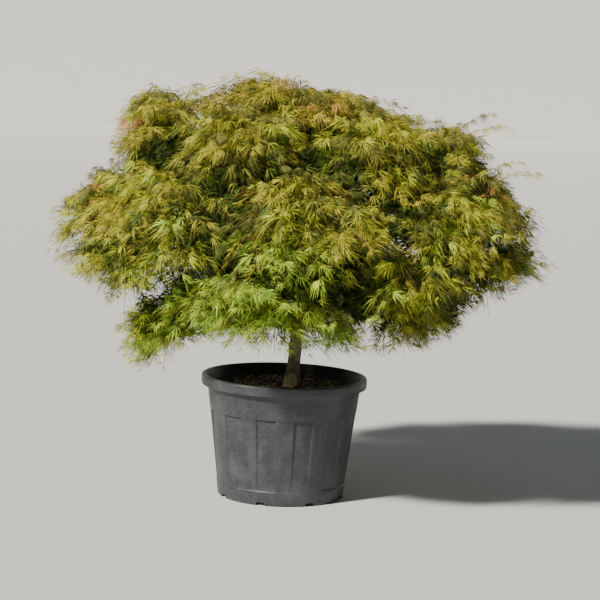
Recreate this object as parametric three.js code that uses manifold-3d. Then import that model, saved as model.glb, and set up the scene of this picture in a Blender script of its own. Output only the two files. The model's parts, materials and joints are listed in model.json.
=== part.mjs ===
// A laceleaf maple grown as a low broad mound on a short trunk, in a ribbed nursery pot.
// Millimetres, +Z up. The origin is the middle of the pot's flat underside. The front is -Y.
import * as THREE from 'three';
import { mergeVertices } from 'three/addons/utils/BufferGeometryUtils.js';
import Module from 'manifold-3d';

const wasm = await Module();
wasm.setup();

const UP = new THREE.Vector3(0, 0, 1);
const CLEARANCE = 0.3;

// Pot: heights from the ground, and outer radii
const POT_HEIGHT = 475;
const POT_WALL = 5;
const POT_FLOOR = 6;
const RIM_HEIGHT = 40;
const RIM_RADIUS = 325;
const RIM_LIP = 16;
const RIM_BEVEL = 5;
const RIM_INNER_FALL = 12;
const NECK_RADIUS = 300;
const BASE_RADIUS = 247;
const BAND_HEIGHT = 95;
const BASE_BAND_HEIGHT = 54;
const PANEL_COUNT = 12;
const PANEL_DEPTH_TOP = 9;
const PANEL_DEPTH_BASE = 3;
const PANEL_RAMP = 4;
const STAVE_SET_BACK = 2;
const STAVE_EDGE = 0.07;
const FRONT_STAVE_AZIMUTH = 271;
const DRAIN_COUNT = 8;
const DRAIN_WIDTH = 34;
const DRAIN_HEIGHT = 13;
const DRAIN_DEPTH = 14;
const DRAIN_AZIMUTH = 251.6;

// Compost
const COMPOST_LEVEL = 430;
const COMPOST_CROWN = 436;
const COMPOST_CROWN_RADIUS = 90;
const COMPOST_GAP = 2;
const COMPOST_EDGE = [12, 20];
const TRUNK_SINK = 8;

// Trunk: cut flat where it stands on the compost, it leans a little to the right
const TRUNK_FOOT = new THREE.Vector3(22, -25, COMPOST_CROWN - TRUNK_SINK);
const TRUNK_FORK = new THREE.Vector3(62, -8, 930);
const TRUNK_ROOT_RADIUS = 26;
const TRUNK_FORK_RADIUS = 21;
const TRUNK_FLARE = 6;
const TRUNK_FLARE_SHARE = 0.07;
const TRUNK_BOW = 14;
const ROOT_RIDGES = 5;
const RIDGE_SHARE = 0.14;

// Crown: an oval plan round a middle a little to the right of the pot's
const CROWN_MIDDLE = new THREE.Vector3(40, 0, 0);
const CROWN_STRETCH = new THREE.Vector2(1.13, 1.0);
const SEED = 20;

// The skirt's ring is open at the front left, where the shaded inside shows
const GAP_AZIMUTH = 233;
const GAP_WIDTH = 58;
const EIGHT_WAYS = ['right', 'back_right', 'back', 'back_left', 'left', 'front_left', 'front', 'front_right'];
const SIX_WAYS = ['right', 'back_right', 'back_left', 'left', 'front_left', 'front_right'];
const HEM_WAYS = { right: 12, back: 80, back_left: 138, left: 192, front_right: 318 };

// Azimuths by name: all round from the right, or all round from one edge of the gap to the other
const evenly = (names) => Object.fromEntries(names.map((name, i) => [name, (i * 360) / names.length]));
function roundGap(names) {
  const spacing = (360 - GAP_WIDTH) / (names.length - 1);
  return Object.fromEntries(names.map((name, i) => {
    const fromFront = (i - names.indexOf('front') + names.length) % names.length;
    return [name, GAP_AZIMUTH + GAP_WIDTH / 2 + fromFront * spacing];
  }));
}

// Tiers of foliage: distance out, height of the middle, half sizes (out, along, up), dip outwards
const TIERS = {
  cap: { ways: { middle: 0 }, reach: 0, height: 1515, half: [430, 410, 215], dip: 0, tint: 'leaf_golden' },
  top: {
    ways: evenly(SIX_WAYS), reach: 440, height: 1390, half: [330, 310, 215], dip: 16, tint: 'leaf_golden',
  },
  shoulder: {
    ways: evenly(EIGHT_WAYS), reach: 600, height: 1170, half: [330, 300, 215], dip: 22, tint: 'leaf_golden',
  },
  skirt: {
    ways: roundGap(EIGHT_WAYS), reach: 615, height: 915, half: [330, 290, 195], dip: 26, tint: 'leaf_green',
  },
  hem: { ways: HEM_WAYS, reach: 420, height: 735, half: [270, 250, 150], dip: 22, tint: 'leaf_green' },
};

// What sets single masses apart from their tier: added reach and height, and a factor on the size
const OWN_SHAPE = {
  top_left: { reach: 15, height: 35, scale: 1.05 },
  top_right: { reach: 25, height: -30 },
  shoulder_left: { height: -30 },
  shoulder_right: { reach: -10, height: 30 },
  skirt_right: { reach: 40 },
  skirt_front: { reach: -110, height: -100, scale: 1.1 },
  skirt_front_left: { reach: 20, height: 10, scale: 0.95 },
  hem_left: { reach: 20, height: -120, scale: 0.8 },
  hem_front_right: { height: 60, scale: 0.95 },
  hem_right: { reach: 40, height: 40 },
};

// Limbs: radii at root and tip, how far out and how high the tip stands, and how far it bends to each side.
// Boughs leave their parent one above the other, from a share of it on, in an order that skips round it.
const LEADER = { root: 19, tip: 9, height: 1290, bow: 14 };
const TOP_BOUGH = { root: 9.5, tip: 5.5, reach: 225, sway: 26, from: 0.1, apart: 0.09, skip: 5 };
const TOP_BOUGH_HEIGHT = 1290;
const MAIN_BOUGH = { root: 13, tip: 7, reach: 385, sway: 38, from: 0.66, apart: 0.042, skip: 3 };
const LOW_BOUGH = { root: 9, tip: 5.5, reach: 270, sway: 22, from: 0.42, apart: 0.05, skip: 2 };
const MAIN_BOUGH_RISE = 10;
const LOW_BOUGH_RISE = 40;
const LEAST_SWAY = 0.6;
// Where the two middle corners of a bough's line stand, as shares of its way out and of its rise
const ARCH_OUT = [0.3, 0.68];
const ARCH_UP = [0.42, 0.95];
const ARCH_LIFT = 20;
const THIRDS = [0.33, 0.66];
const LIMB_SAMPLES = 28;
const BOUGH_SIDES = 6;
const BOUGH_STEPS = 5;
const TRUNK_SIDES = 12;
const TRUNK_STEPS = 10;

// Foliage: a stem into a core, out of which leaves of five narrow lobes stand on twigs
const STEM_RADIUS = [10, 8];
const CORE_SHARE = [0.5, 0.56, 0.44];
const CORE_SIDES = 7;
const CORE_ROUGHNESS = 0.15;
const CORE_STEP = 0.05;
const CORE_LEAST = 0.1;
const LEAVES_PER_MASS = 12;
const LEAF_RISE = [0.92, -0.45];
const LEAF_DIP = [-0.5, 1.15];
const LEAF_TRIES = 10;
const GOLDEN_SHARE = 0.618;
const GOLDEN_TURN = 2.39996;
const LEAF_JITTER = { rise: 0.12, turn: 0.9, heading: 1.2, roll: 0.8 };
const OUTWARD_PULL = 0.45;
const PROBE_SHARES = [0.3, 0.55, 0.8, 1];
const LEAF_LENGTHS = [200, 180, 160, 142, 125, 110, 95, 82];
const LEAF_THICKNESS = 0.045;
const TWIG_RADIUS = [4.4, 3];
const TWIG_SINK = 0.5;
const TWIG_OUT = [0.05, 0.18];
const SPRIG_FACES = 44;
const LOBE_SPREAD = 37;
const LOBE_LENGTHS = [0.72, 0.93, 1, 0.93, 0.72];
const NOTCH_SHARE = 0.32;
const STALK_SHARE = 0.12;
const LOBE_DROOP = 0.2;
const SPACE_MARGIN = 0.02;
const LIMB_MARGIN = 5;
const NEAR = 900;

const radians = THREE.MathUtils.degToRad;
const lerp = THREE.MathUtils.lerp;

// The same numbers each time for the same seed
function seeded(seed) {
  let state = seed >>> 0;
  return () => {
    state = (state + 0x6d2b79f5) >>> 0;
    let mixed = Math.imul(state ^ (state >>> 15), state | 1);
    mixed ^= mixed + Math.imul(mixed ^ (mixed >>> 7), mixed | 61);
    return ((mixed ^ (mixed >>> 14)) >>> 0) / 4294967296;
  };
}

function direction(azimuth, dip = 0) {
  const level = Math.cos(radians(dip));
  return new THREE.Vector3(
    Math.cos(radians(azimuth)) * level, Math.sin(radians(azimuth)) * level, -Math.sin(radians(dip)));
}

// A point of the crown's oval plan
function crownPoint(azimuth, reach, height) {
  const out = direction(azimuth);
  return new THREE.Vector3(
    CROWN_MIDDLE.x + out.x * reach * CROWN_STRETCH.x,
    CROWN_MIDDLE.y + out.y * reach * CROWN_STRETCH.y,
    height);
}

function toSolid(geometry) {
  const bare = geometry.clone().deleteAttribute('normal').deleteAttribute('uv');
  const merged = mergeVertices(bare, 1e-3);
  return new wasm.Manifold(new wasm.Mesh({
    numProp: 3,
    vertProperties: merged.attributes.position.array,
    triVerts: new Uint32Array(merged.index.array),
  }));
}

// The largest body of a solid as a three.js geometry, so that loose scraps are dropped
function toGeometry(solid) {
  const whole = solid.decompose().sort((a, b) => b.volume() - a.volume())[0];
  const { numProp, numVert, vertProperties, triVerts } = whole.getMesh();
  const points = new Float32Array(numVert * 3);
  for (let i = 0; i < numVert; i++) {
    points.set(vertProperties.subarray(i * numProp, i * numProp + 3), i * 3);
  }
  const geometry = new THREE.BufferGeometry();
  geometry.setAttribute('position', new THREE.BufferAttribute(points, 3));
  geometry.setIndex(new THREE.BufferAttribute(new Uint32Array(triVerts), 1));
  geometry.computeVertexNormals();
  return geometry;
}

// Moves each vertex of a geometry to the point that place(x, y, z) gives
function reshape(geometry, place) {
  const position = geometry.attributes.position;
  for (let i = 0; i < position.count; i++) {
    position.setXYZ(i, ...place(position.getX(i), position.getY(i), position.getZ(i)).toArray());
  }
  return geometry;
}

// Pot

const neckHeight = POT_HEIGHT - RIM_HEIGHT;
const panelTop = neckHeight - BAND_HEIGHT;
const wallRadius = (height) => lerp(BASE_RADIUS, NECK_RADIUS, height / neckHeight);

// How far the wall stands back at a height, on a stave or in the panel between two staves
function setBack(height, inPanel) {
  if (height >= panelTop || height <= BASE_BAND_HEIGHT) return 0;
  const up = (height - BASE_BAND_HEIGHT) / (panelTop - BASE_BAND_HEIGHT);
  return inPanel ? lerp(PANEL_DEPTH_BASE, PANEL_DEPTH_TOP, up) : STAVE_SET_BACK;
}

function potGeometry() {
  const inner = (height) => wallRadius(height) - PANEL_DEPTH_TOP - POT_WALL;
  const profile = [
    [0, 0], [BASE_RADIUS, 0], [wallRadius(BASE_BAND_HEIGHT), BASE_BAND_HEIGHT],
    [wallRadius(BASE_BAND_HEIGHT + PANEL_RAMP), BASE_BAND_HEIGHT + PANEL_RAMP],
    [wallRadius(panelTop - PANEL_RAMP), panelTop - PANEL_RAMP], [wallRadius(panelTop), panelTop],
    [NECK_RADIUS, neckHeight], [RIM_RADIUS - RIM_BEVEL, neckHeight], [RIM_RADIUS, neckHeight + RIM_BEVEL],
    [RIM_RADIUS, POT_HEIGHT - RIM_BEVEL], [RIM_RADIUS - RIM_BEVEL, POT_HEIGHT],
    [RIM_RADIUS - RIM_LIP, POT_HEIGHT], [RIM_RADIUS - RIM_LIP - RIM_BEVEL / 2, POT_HEIGHT - RIM_BEVEL],
    [inner(neckHeight), neckHeight - RIM_INNER_FALL], [inner(POT_FLOOR), POT_FLOOR], [0, POT_FLOOR],
  ].map(([radius, height]) => new THREE.Vector2(radius, height));
  // The four corners of a period: both edges of the panel, then both edges of the stave
  const corners = [0, STAVE_EDGE, 0.5, 0.5 + STAVE_EDGE];
  const perPeriod = corners.length;
  const lathe = new THREE.LatheGeometry(profile, PANEL_COUNT * perPeriod);
  const period = 360 / PANEL_COUNT;
  return reshape(lathe, (x, y, z) => {
    const radius = Math.hypot(x, z);
    const index = Math.round((Math.atan2(x, z) / (2 * Math.PI)) * PANEL_COUNT * perPeriod);
    const corner = ((index % perPeriod) + perPeriod) % perPeriod;
    const share = (index - corner) / perPeriod + corners[corner];
    const azimuth = FRONT_STAVE_AZIMUTH + period * (share + 0.25 - STAVE_EDGE / 2);
    const outside = radius > wallRadius(y) - POT_WALL / 2;
    const inPanel = corner === 1 || corner === 2;
    const out = outside ? radius - setBack(y, inPanel) : radius;
    return direction(azimuth).multiplyScalar(out).setZ(y);
  });
}

function drainCutter(azimuth) {
  const box = new THREE.BoxGeometry(DRAIN_DEPTH * 2, DRAIN_WIDTH, DRAIN_HEIGHT * 2);
  box.translate(BASE_RADIUS, 0, 0);
  box.rotateZ(radians(azimuth));
  return toSolid(box);
}

function pot() {
  let solid = toSolid(potGeometry());
  for (let i = 0; i < DRAIN_COUNT; i++) {
    solid = solid.subtract(drainCutter(DRAIN_AZIMUTH + (360 / DRAIN_COUNT) * i));
  }
  return toGeometry(solid);
}

function compost() {
  const inside = (height) => wallRadius(height) - PANEL_DEPTH_TOP - POT_WALL - COMPOST_GAP;
  const foot = POT_FLOOR + CLEARANCE;
  const [edgeWidth, edgeFall] = COMPOST_EDGE;
  const profile = [
    [0, foot], [inside(foot), foot], [inside(COMPOST_LEVEL - edgeFall), COMPOST_LEVEL - edgeFall],
    [inside(COMPOST_LEVEL) - edgeWidth, COMPOST_LEVEL], [COMPOST_CROWN_RADIUS, COMPOST_CROWN],
    [0, COMPOST_CROWN],
  ].map(([radius, height]) => new THREE.Vector2(radius, height));
  const lathe = new THREE.LatheGeometry(profile, PANEL_COUNT * 2);
  lathe.rotateX(Math.PI / 2);
  lathe.rotateZ(radians(FRONT_STAVE_AZIMUTH));
  return lathe;
}

// Limbs: each is a tapering tube round a Bezier line

function makeLimb(name, line, root, tip, extras = {}) {
  const limb = { name, line, sides: BOUGH_SIDES, steps: BOUGH_STEPS, ...extras };
  limb.radiusAt = (t) => lerp(root, tip, t);
  return limb;
}

function limbFrames(limb) {
  const frames = [];
  let side = Math.abs(limb.line.getTangent(0).z) > 0.8 ? new THREE.Vector3(1, 0, 0) : UP.clone();
  for (let i = 0; i <= limb.steps; i++) {
    const t = i / limb.steps;
    const along = limb.line.getTangent(t);
    side = side.clone().addScaledVector(along, -side.dot(along)).normalize();
    const over = new THREE.Vector3().crossVectors(side, along);
    frames.push({ t, at: limb.line.getPoint(t), side, over });
  }
  return frames;
}

// The clearance is added on every face and at both ends
function limbGeometry(limb, clearance = 0) {
  const frames = limbFrames(limb);
  const lengthen = (end, next) => end.at.add(end.at.clone().sub(next.at).setLength(clearance));
  lengthen(frames[0], frames[1]);
  lengthen(frames.at(-1), frames.at(-2));
  const extra = clearance / Math.cos(Math.PI / limb.sides);
  const tube = new THREE.CylinderGeometry(1, 1, 1, limb.sides, limb.steps);
  return reshape(tube, (x, y, z) => {
    const frame = frames[Math.round((y + 0.5) * limb.steps)];
    const ridge = limb.ridge ? limb.ridge(frame.t, Math.atan2(z, x)) : 1;
    const radius = limb.radiusAt(frame.t) * ridge + extra;
    return frame.at.clone().addScaledVector(frame.side, x * radius).addScaledVector(frame.over, z * radius);
  });
}

function makeTrunk() {
  const rise = TRUNK_FORK.clone().sub(TRUNK_FOOT);
  const line = new THREE.CubicBezierCurve3(
    TRUNK_FOOT,
    TRUNK_FOOT.clone().addScaledVector(rise, THIRDS[0]).add(new THREE.Vector3(TRUNK_BOW, 0, 0)),
    TRUNK_FOOT.clone().addScaledVector(rise, THIRDS[1]).add(new THREE.Vector3(-TRUNK_BOW, TRUNK_BOW, 0)),
    TRUNK_FORK);
  const flare = (t) => Math.exp(-t / TRUNK_FLARE_SHARE);
  const trunk = makeLimb('trunk', line, 0, 0, { sides: TRUNK_SIDES, steps: TRUNK_STEPS });
  trunk.radiusAt = (t) => lerp(TRUNK_ROOT_RADIUS, TRUNK_FORK_RADIUS, t) + TRUNK_FLARE * flare(t);
  trunk.ridge = (t, angle) => 1 + RIDGE_SHARE * flare(t) * Math.cos(ROOT_RIDGES * angle);
  return trunk;
}

// The leader runs on from the fork to below the cap in a slow double bend
function makeLeader(trunk) {
  const start = trunk.line.getPoint(1).addScaledVector(UP, CLEARANCE);
  const tip = crownPoint(0, 0, LEADER.height);
  const bow = new THREE.Vector3(0, LEADER.bow, 0);
  const line = new THREE.CubicBezierCurve3(
    start, start.clone().lerp(tip, THIRDS[0]).add(bow), start.clone().lerp(tip, THIRDS[1]).sub(bow), tip);
  return makeLimb('leader', line, LEADER.root, LEADER.tip);
}

// A bough leaves its parent, heads out and up in an arch with a slow double bend, and levels at its tip
function makeBough(name, parent, index, count, tip, sizes, random) {
  const start = parent.line.getPoint(sizes.from + sizes.apart * ((index * sizes.skip) % count));
  const out = tip.clone().sub(start).setZ(0);
  const across = new THREE.Vector3(-out.y, out.x, 0).normalize();
  const rise = tip.z - start.z;
  const sway = sizes.sway * (random() < 0.5 ? -1 : 1) * lerp(LEAST_SWAY, 1, random());
  const [first, second] = ARCH_OUT.map((share, i) => start.clone()
    .addScaledVector(out, share)
    .addScaledVector(UP, rise * ARCH_UP[i] + ARCH_LIFT)
    .addScaledVector(across, i === 0 ? sway : -sway));
  return makeLimb(name, new THREE.CubicBezierCurve3(start, first, second, tip), sizes.root, sizes.tip);
}

// Foliage: the space of each mass is an ellipsoid that dips outwards

function makeMass(tierName, way, index) {
  const tier = TIERS[tierName];
  const azimuth = tier.ways[way];
  const own = { reach: 0, height: 0, scale: 1, ...OWN_SHAPE[`${tierName}_${way}`] };
  return {
    name: `foliage_${tierName}_${way}`,
    azimuth,
    tint: tier.tint,
    middle: crownPoint(azimuth, tier.reach + own.reach, tier.height + own.height),
    half: tier.half.map((size) => size * own.scale),
    axes: [direction(azimuth, tier.dip), direction(azimuth + 90), direction(azimuth, tier.dip - 90)],
    seed: (SEED + index) * 1009,
  };
}

function pointIn(mass, [out, along, up]) {
  return mass.middle.clone()
    .addScaledVector(mass.axes[0], out * mass.half[0])
    .addScaledVector(mass.axes[1], along * mass.half[1])
    .addScaledVector(mass.axes[2], up * mass.half[2]);
}

// 0 at the middle of a mass and 1 at the edge of its space
function depthIn(mass, point) {
  const from = point.clone().sub(mass.middle);
  return Math.hypot(...mass.axes.map((axis, i) => from.dot(axis) / mass.half[i]));
}

function isFree(point, mass, masses, limbs) {
  const depth = depthIn(mass, point);
  if (depth > 1) return false;
  if (masses.some((other) => other !== mass && depthIn(other, point) < depth + SPACE_MARGIN)) return false;
  return limbs.every((limb) => limb.samples.every(
    ({ at, radius }) => at.distanceTo(point) > radius + LIMB_MARGIN));
}

function sampleLimb(limb) {
  const shares = Array.from({ length: LIMB_SAMPLES + 1 }, (_, i) => i / LIMB_SAMPLES);
  limb.samples = shares.map((t) => ({ at: limb.line.getPoint(t), radius: limb.radiusAt(t) }));
  return limb;
}

// The outline of a leaf round its lobes: [share of the length, angle]
const lobeAngle = (i) => (i - (LOBE_LENGTHS.length - 1) / 2) * LOBE_SPREAD;
const LEAF_OUTLINE = LOBE_LENGTHS.flatMap((length, i) => {
  const lobe = [length, lobeAngle(i)];
  return i > 0 ? [[NOTCH_SHARE, lobeAngle(i - 0.5)], lobe] : [lobe];
});

function leafPoint(leaf, share, angle, lift) {
  const droop = -LOBE_DROOP * share * share * leaf.length;
  return leaf.end.clone().addScaledVector(leaf.along, STALK_SHARE * leaf.length)
    .addScaledVector(leaf.along, Math.cos(radians(angle)) * share * leaf.length)
    .addScaledVector(leaf.across, Math.sin(radians(angle)) * share * leaf.length)
    .addScaledVector(leaf.normal, droop + lift);
}

// A leaf on its twig is one closed surface: a three-sided tube that opens into two fans over the outline
function sprigGeometry(leaf) {
  const axis = leaf.end.clone().sub(leaf.start).normalize();
  const over = leaf.normal.clone().addScaledVector(axis, -leaf.normal.dot(axis)).normalize();
  const aside = new THREE.Vector3().crossVectors(over, axis);
  const ring = (at, radius) => [0, 120, 240].map((turn) => at.clone()
    .addScaledVector(over, Math.cos(radians(turn)) * radius)
    .addScaledVector(aside, Math.sin(radians(turn)) * radius));
  const lift = (LEAF_THICKNESS * leaf.length) / 2;
  const poles = [lift, -lift].map((height) => leafPoint(leaf, 0, 0, height));
  const outline = LEAF_OUTLINE.map(([share, angle]) => leafPoint(leaf, share, angle, 0));
  const [root, tip] = TWIG_RADIUS;
  const points = [...ring(leaf.start, root), ...ring(leaf.end, tip), ...poles, ...outline];
  const [topSide, left, right, top, bottom, first] = [3, 4, 5, 6, 7, 8];
  const rim = [right, ...outline.map((_, i) => first + i), left];
  const faces = [0, 1, 2, top, left, topSide, top, topSide, right, bottom, right, left];
  for (let k = 0; k < 3; k++) {
    const next = (k + 1) % 3;
    faces.push(k, 3 + k, 3 + next, k, 3 + next, next);
  }
  for (let i = 1; i < rim.length; i++) {
    faces.push(top, rim[i - 1], rim[i], bottom, rim[i], rim[i - 1]);
  }
  const geometry = new THREE.BufferGeometry().setFromPoints(points);
  return geometry.setIndex(faces);
}

// Points along each lobe, where a leaf is tested against its space and the limbs
function leafProbes(leaf) {
  return LOBE_LENGTHS.flatMap((length, i) =>
    PROBE_SHARES.map((share) => leafPoint(leaf, share * length, lobeAngle(i), 0)));
}

// The stem of a mass runs on from the bough's tip into its core
function makeStem(mass) {
  const root = mass.bough.line.getPoint(1);
  const length = root.distanceTo(mass.middle);
  const first = root.clone().addScaledVector(mass.bough.line.getTangent(1), length * THIRDS[0]);
  const line = new THREE.CubicBezierCurve3(root, first, first.clone().lerp(mass.middle, 0.5), mass.middle);
  return sampleLimb(makeLimb(`${mass.name}_stem`, line, ...STEM_RADIUS, { sides: 3, steps: 2 }));
}

// The dense heart of a mass: a rough ball, drawn in wherever it would leave its space
function coreGeometry(mass, random, free) {
  const bumps = Array.from({ length: CORE_SIDES * 2 + 2 }, () => 1 + (random() - 0.5) * 2 * CORE_ROUGHNESS);
  const ball = new THREE.SphereGeometry(1, CORE_SIDES, 3);
  return reshape(ball, (x, y, z) => {
    const turn = Math.round((Math.atan2(z, x) / (2 * Math.PI) + 1) * CORE_SIDES) % CORE_SIDES;
    const row = y > 0 ? 0 : 1;
    const bump = Math.abs(y) > 0.9 ? bumps[CORE_SIDES * 2 + row] : bumps[turn + row * CORE_SIDES];
    let share = bump;
    let point;
    do {
      point = pointIn(mass, [x, -z, y].map((part, i) => part * CORE_SHARE[i] * share));
      share -= CORE_STEP;
    } while (share > CORE_LEAST && !free(point));
    return point;
  });
}

// A twig stands out of the core; its leaf heads on, outwards and down like a shingle
function makeLeaf(mass, index, random) {
  const up = lerp(...LEAF_RISE, (index * GOLDEN_SHARE + random() * LEAF_JITTER.rise) % 1);
  const round = index * GOLDEN_TURN + (random() - 0.5) * LEAF_JITTER.turn;
  const level = Math.sqrt(1 - up * up);
  const way = [Math.cos(round) * level, Math.sin(round) * level, up].map((part, i) => part * CORE_SHARE[i]);
  const start = pointIn(mass, way.map((part) => part * (1 - TWIG_SINK)));
  const end = pointIn(mass, way.map((part, i) => part * (1 + lerp(...TWIG_OUT, random()) / CORE_SHARE[i])));
  const heading = end.clone().sub(mass.middle).setZ(0).normalize();
  const outwards = mass.middle.clone().sub(CROWN_MIDDLE).setZ(0);
  if (outwards.length() > 1) heading.addScaledVector(outwards.normalize(), OUTWARD_PULL).normalize();
  heading.applyAxisAngle(UP, (random() - 0.5) * LEAF_JITTER.heading);
  const dip = lerp(...LEAF_DIP, random() * 0.5 + (1 - Math.max(up, 0)) * 0.5);
  const along = heading.addScaledVector(UP, -dip).normalize();
  const normal = UP.clone().addScaledVector(along, -UP.dot(along)).normalize();
  normal.applyAxisAngle(along, (random() - 0.5) * LEAF_JITTER.roll);
  return { start, end, along, normal, across: new THREE.Vector3().crossVectors(normal, along) };
}

// Leaf after leaf, each as long as its space leaves room for, clear of those before it and of what blocks it
function growMass(mass, masses, limbs, blocks) {
  const random = seeded(mass.seed);
  const free = (point) => isFree(point, mass, masses, limbs);
  let solid = toSolid(limbGeometry(mass.stem)).add(toSolid(coreGeometry(mass, random, free)));
  for (let i = 0; i < LEAVES_PER_MASS; i++) {
    const found = [];
    for (let k = 0; k < LEAF_TRIES; k++) {
      const leaf = makeLeaf(mass, i, random);
      leaf.length = LEAF_LENGTHS.find((length) => leafProbes({ ...leaf, length }).every(free));
      if (leaf.length && free(leaf.end)) found.push(leaf);
    }
    found.sort((one, other) => other.length - one.length);
    for (const leaf of found) {
      const sprig = toSolid(sprigGeometry(leaf));
      if (blocks.some((block) => !block.intersect(sprig).isEmpty())) continue;
      const joined = solid.add(sprig);
      const added = joined.numTri() - solid.numTri();
      if (added > SPRIG_FACES || joined.decompose().length > 1) continue;
      solid = joined;
      break;
    }
  }
  return solid;
}

// The whole plant in its pot

const random = seeded(SEED);
const masses = Object.entries(TIERS)
  .flatMap(([tierName, tier]) => Object.keys(tier.ways).map((way) => [tierName, way]))
  .map(([tierName, way], index) => makeMass(tierName, way, index));
const massNamed = (name) => masses.find((mass) => mass.name === `foliage_${name}`);

const trunk = makeTrunk();
const leader = makeLeader(trunk);
massNamed('cap_middle').bough = leader;

const topBoughs = SIX_WAYS.map((way, i) => {
  const mass = massNamed(`top_${way}`);
  const tip = crownPoint(mass.azimuth, TOP_BOUGH.reach, TOP_BOUGH_HEIGHT);
  mass.bough = makeBough(`bough_top_${way}`, leader, i, SIX_WAYS.length, tip, TOP_BOUGH, random);
  return mass.bough;
});

// A main bough heads between its two masses and carries both
const mainBoughs = EIGHT_WAYS.map((way, i) => {
  const shoulder = massNamed(`shoulder_${way}`);
  const skirt = massNamed(`skirt_${way}`);
  const azimuth = shoulder.azimuth + (((skirt.azimuth - shoulder.azimuth + 540) % 360) - 180) / 2;
  const height = (shoulder.middle.z + skirt.middle.z) / 2 + MAIN_BOUGH_RISE;
  const tip = crownPoint(azimuth, MAIN_BOUGH.reach, height);
  const bough = makeBough(`bough_main_${way}`, trunk, i, EIGHT_WAYS.length, tip, MAIN_BOUGH, random);
  shoulder.bough = bough;
  skirt.bough = bough;
  return bough;
});

const lowBoughs = Object.entries(HEM_WAYS).map(([way, azimuth], i, ways) => {
  const mass = massNamed(`hem_${way}`);
  const tip = crownPoint(azimuth, LOW_BOUGH.reach, mass.middle.z + LOW_BOUGH_RISE);
  mass.bough = makeBough(`bough_low_${way}`, trunk, i, ways.length, tip, LOW_BOUGH, random);
  return mass.bough;
});

const limbs = [trunk, leader, ...mainBoughs, ...topBoughs, ...lowBoughs].map((limb) => sampleLimb(limb));
masses.forEach((mass) => {
  mass.stem = makeStem(mass);
});

const MATERIALS = {
  pot: new THREE.MeshStandardMaterial({ color: 0x3b3c3f, roughness: 0.55, metalness: 0 }),
  compost: new THREE.MeshStandardMaterial({ color: 0x2b231c, roughness: 1, metalness: 0 }),
  bark: new THREE.MeshStandardMaterial({ color: 0x7d745f, roughness: 0.9, metalness: 0 }),
  leaf_golden: new THREE.MeshStandardMaterial({ color: 0x9a8c30, roughness: 0.6, metalness: 0 }),
  leaf_green: new THREE.MeshStandardMaterial({ color: 0x7f9434, roughness: 0.6, metalness: 0 }),
};

const plant = new THREE.Group();
function addNode(name, geometry, material) {
  const mesh = new THREE.Mesh(geometry, material);
  mesh.name = name;
  plant.add(mesh);
}

addNode('pot', pot(), MATERIALS.pot);
addNode('compost', compost(), MATERIALS.compost);

// Each limb is cut clear of the compost and of the limbs before it, which leaves a thin joint line
const cutters = [toSolid(compost().translate(0, 0, CLEARANCE))];
for (const limb of limbs) {
  const whole = toSolid(limbGeometry(limb));
  const clear = cutters.reduce((solid, cutter) => solid.subtract(cutter), whole);
  addNode(limb.name, toGeometry(clear), MATERIALS.bark);
  cutters.push(toSolid(limbGeometry(limb, CLEARANCE)));
}

// Each mass is cut clear of the limbs and stems, and its leaves keep clear of the masses before it
const grown = [];
for (const mass of masses) {
  const otherStems = masses.filter((other) => other !== mass).map((other) => other.stem);
  const fatStems = otherStems.map((stem) => toSolid(limbGeometry(stem, CLEARANCE)));
  const near = grown.filter((other) => other.middle.distanceTo(mass.middle) < NEAR).map(({ solid }) => solid);
  const blocks = [...cutters, ...fatStems, ...near];
  const whole = growMass(mass, masses, [...limbs, ...otherStems], blocks);
  const earlier = [...cutters, ...fatStems.slice(0, grown.length)];
  const clear = earlier.reduce((solid, cutter) => solid.subtract(cutter), whole);
  grown.push({ middle: mass.middle, solid: clear });
  addNode(mass.name, toGeometry(clear), MATERIALS[mass.tint]);
}

export default plant;
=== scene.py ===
"""A laceleaf maple grown as a low broad mound on a short trunk, in a ribbed nursery pot.

Metres, +Z up. The origin is the middle of the pot's flat underside, and the front is -Y.
"""

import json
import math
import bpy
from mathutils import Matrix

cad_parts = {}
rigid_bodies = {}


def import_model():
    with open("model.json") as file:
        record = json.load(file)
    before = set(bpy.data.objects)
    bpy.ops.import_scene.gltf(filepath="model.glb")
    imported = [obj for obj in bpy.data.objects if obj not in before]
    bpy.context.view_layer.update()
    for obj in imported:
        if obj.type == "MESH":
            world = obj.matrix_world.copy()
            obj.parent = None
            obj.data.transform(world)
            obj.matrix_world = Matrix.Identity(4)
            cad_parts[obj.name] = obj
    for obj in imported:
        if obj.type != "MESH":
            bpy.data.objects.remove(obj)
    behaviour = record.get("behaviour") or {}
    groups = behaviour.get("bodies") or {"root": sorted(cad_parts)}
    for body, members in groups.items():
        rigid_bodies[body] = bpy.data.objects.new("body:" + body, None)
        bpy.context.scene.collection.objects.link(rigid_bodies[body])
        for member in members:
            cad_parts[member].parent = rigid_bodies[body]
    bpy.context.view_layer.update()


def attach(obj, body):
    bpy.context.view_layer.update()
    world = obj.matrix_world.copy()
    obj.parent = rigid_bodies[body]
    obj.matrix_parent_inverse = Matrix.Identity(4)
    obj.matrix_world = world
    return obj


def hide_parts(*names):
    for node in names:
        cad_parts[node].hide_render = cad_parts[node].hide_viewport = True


bl_info = {
    "name": "Potted laceleaf maple",
    "version": (1, 0, 0),
    "blender": (4, 5, 0),
    "location": "3D View > Sidebar > Maple",
    "description": "Builds a laceleaf maple with bark, twigs and cut leaves, its ribbed pot and its compost",
    "category": "Add Mesh",
}

from collections import namedtuple

import bpy
import numpy as np
from bpy.props import FloatProperty, FloatVectorProperty, IntProperty, PointerProperty
from mathutils import Matrix, Vector

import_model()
BODY = "root"
MM = 0.001
UP = np.array([0.0, 0.0, 1.0])
# A vector times this loses its height
LEVEL = np.array([1, 1, 0])


# Colours and materials


BLACK, GREY, WHITE = (0, 0, 0, 1), (0.5, 0.5, 0.5, 1), (1, 1, 1, 1)
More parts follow.
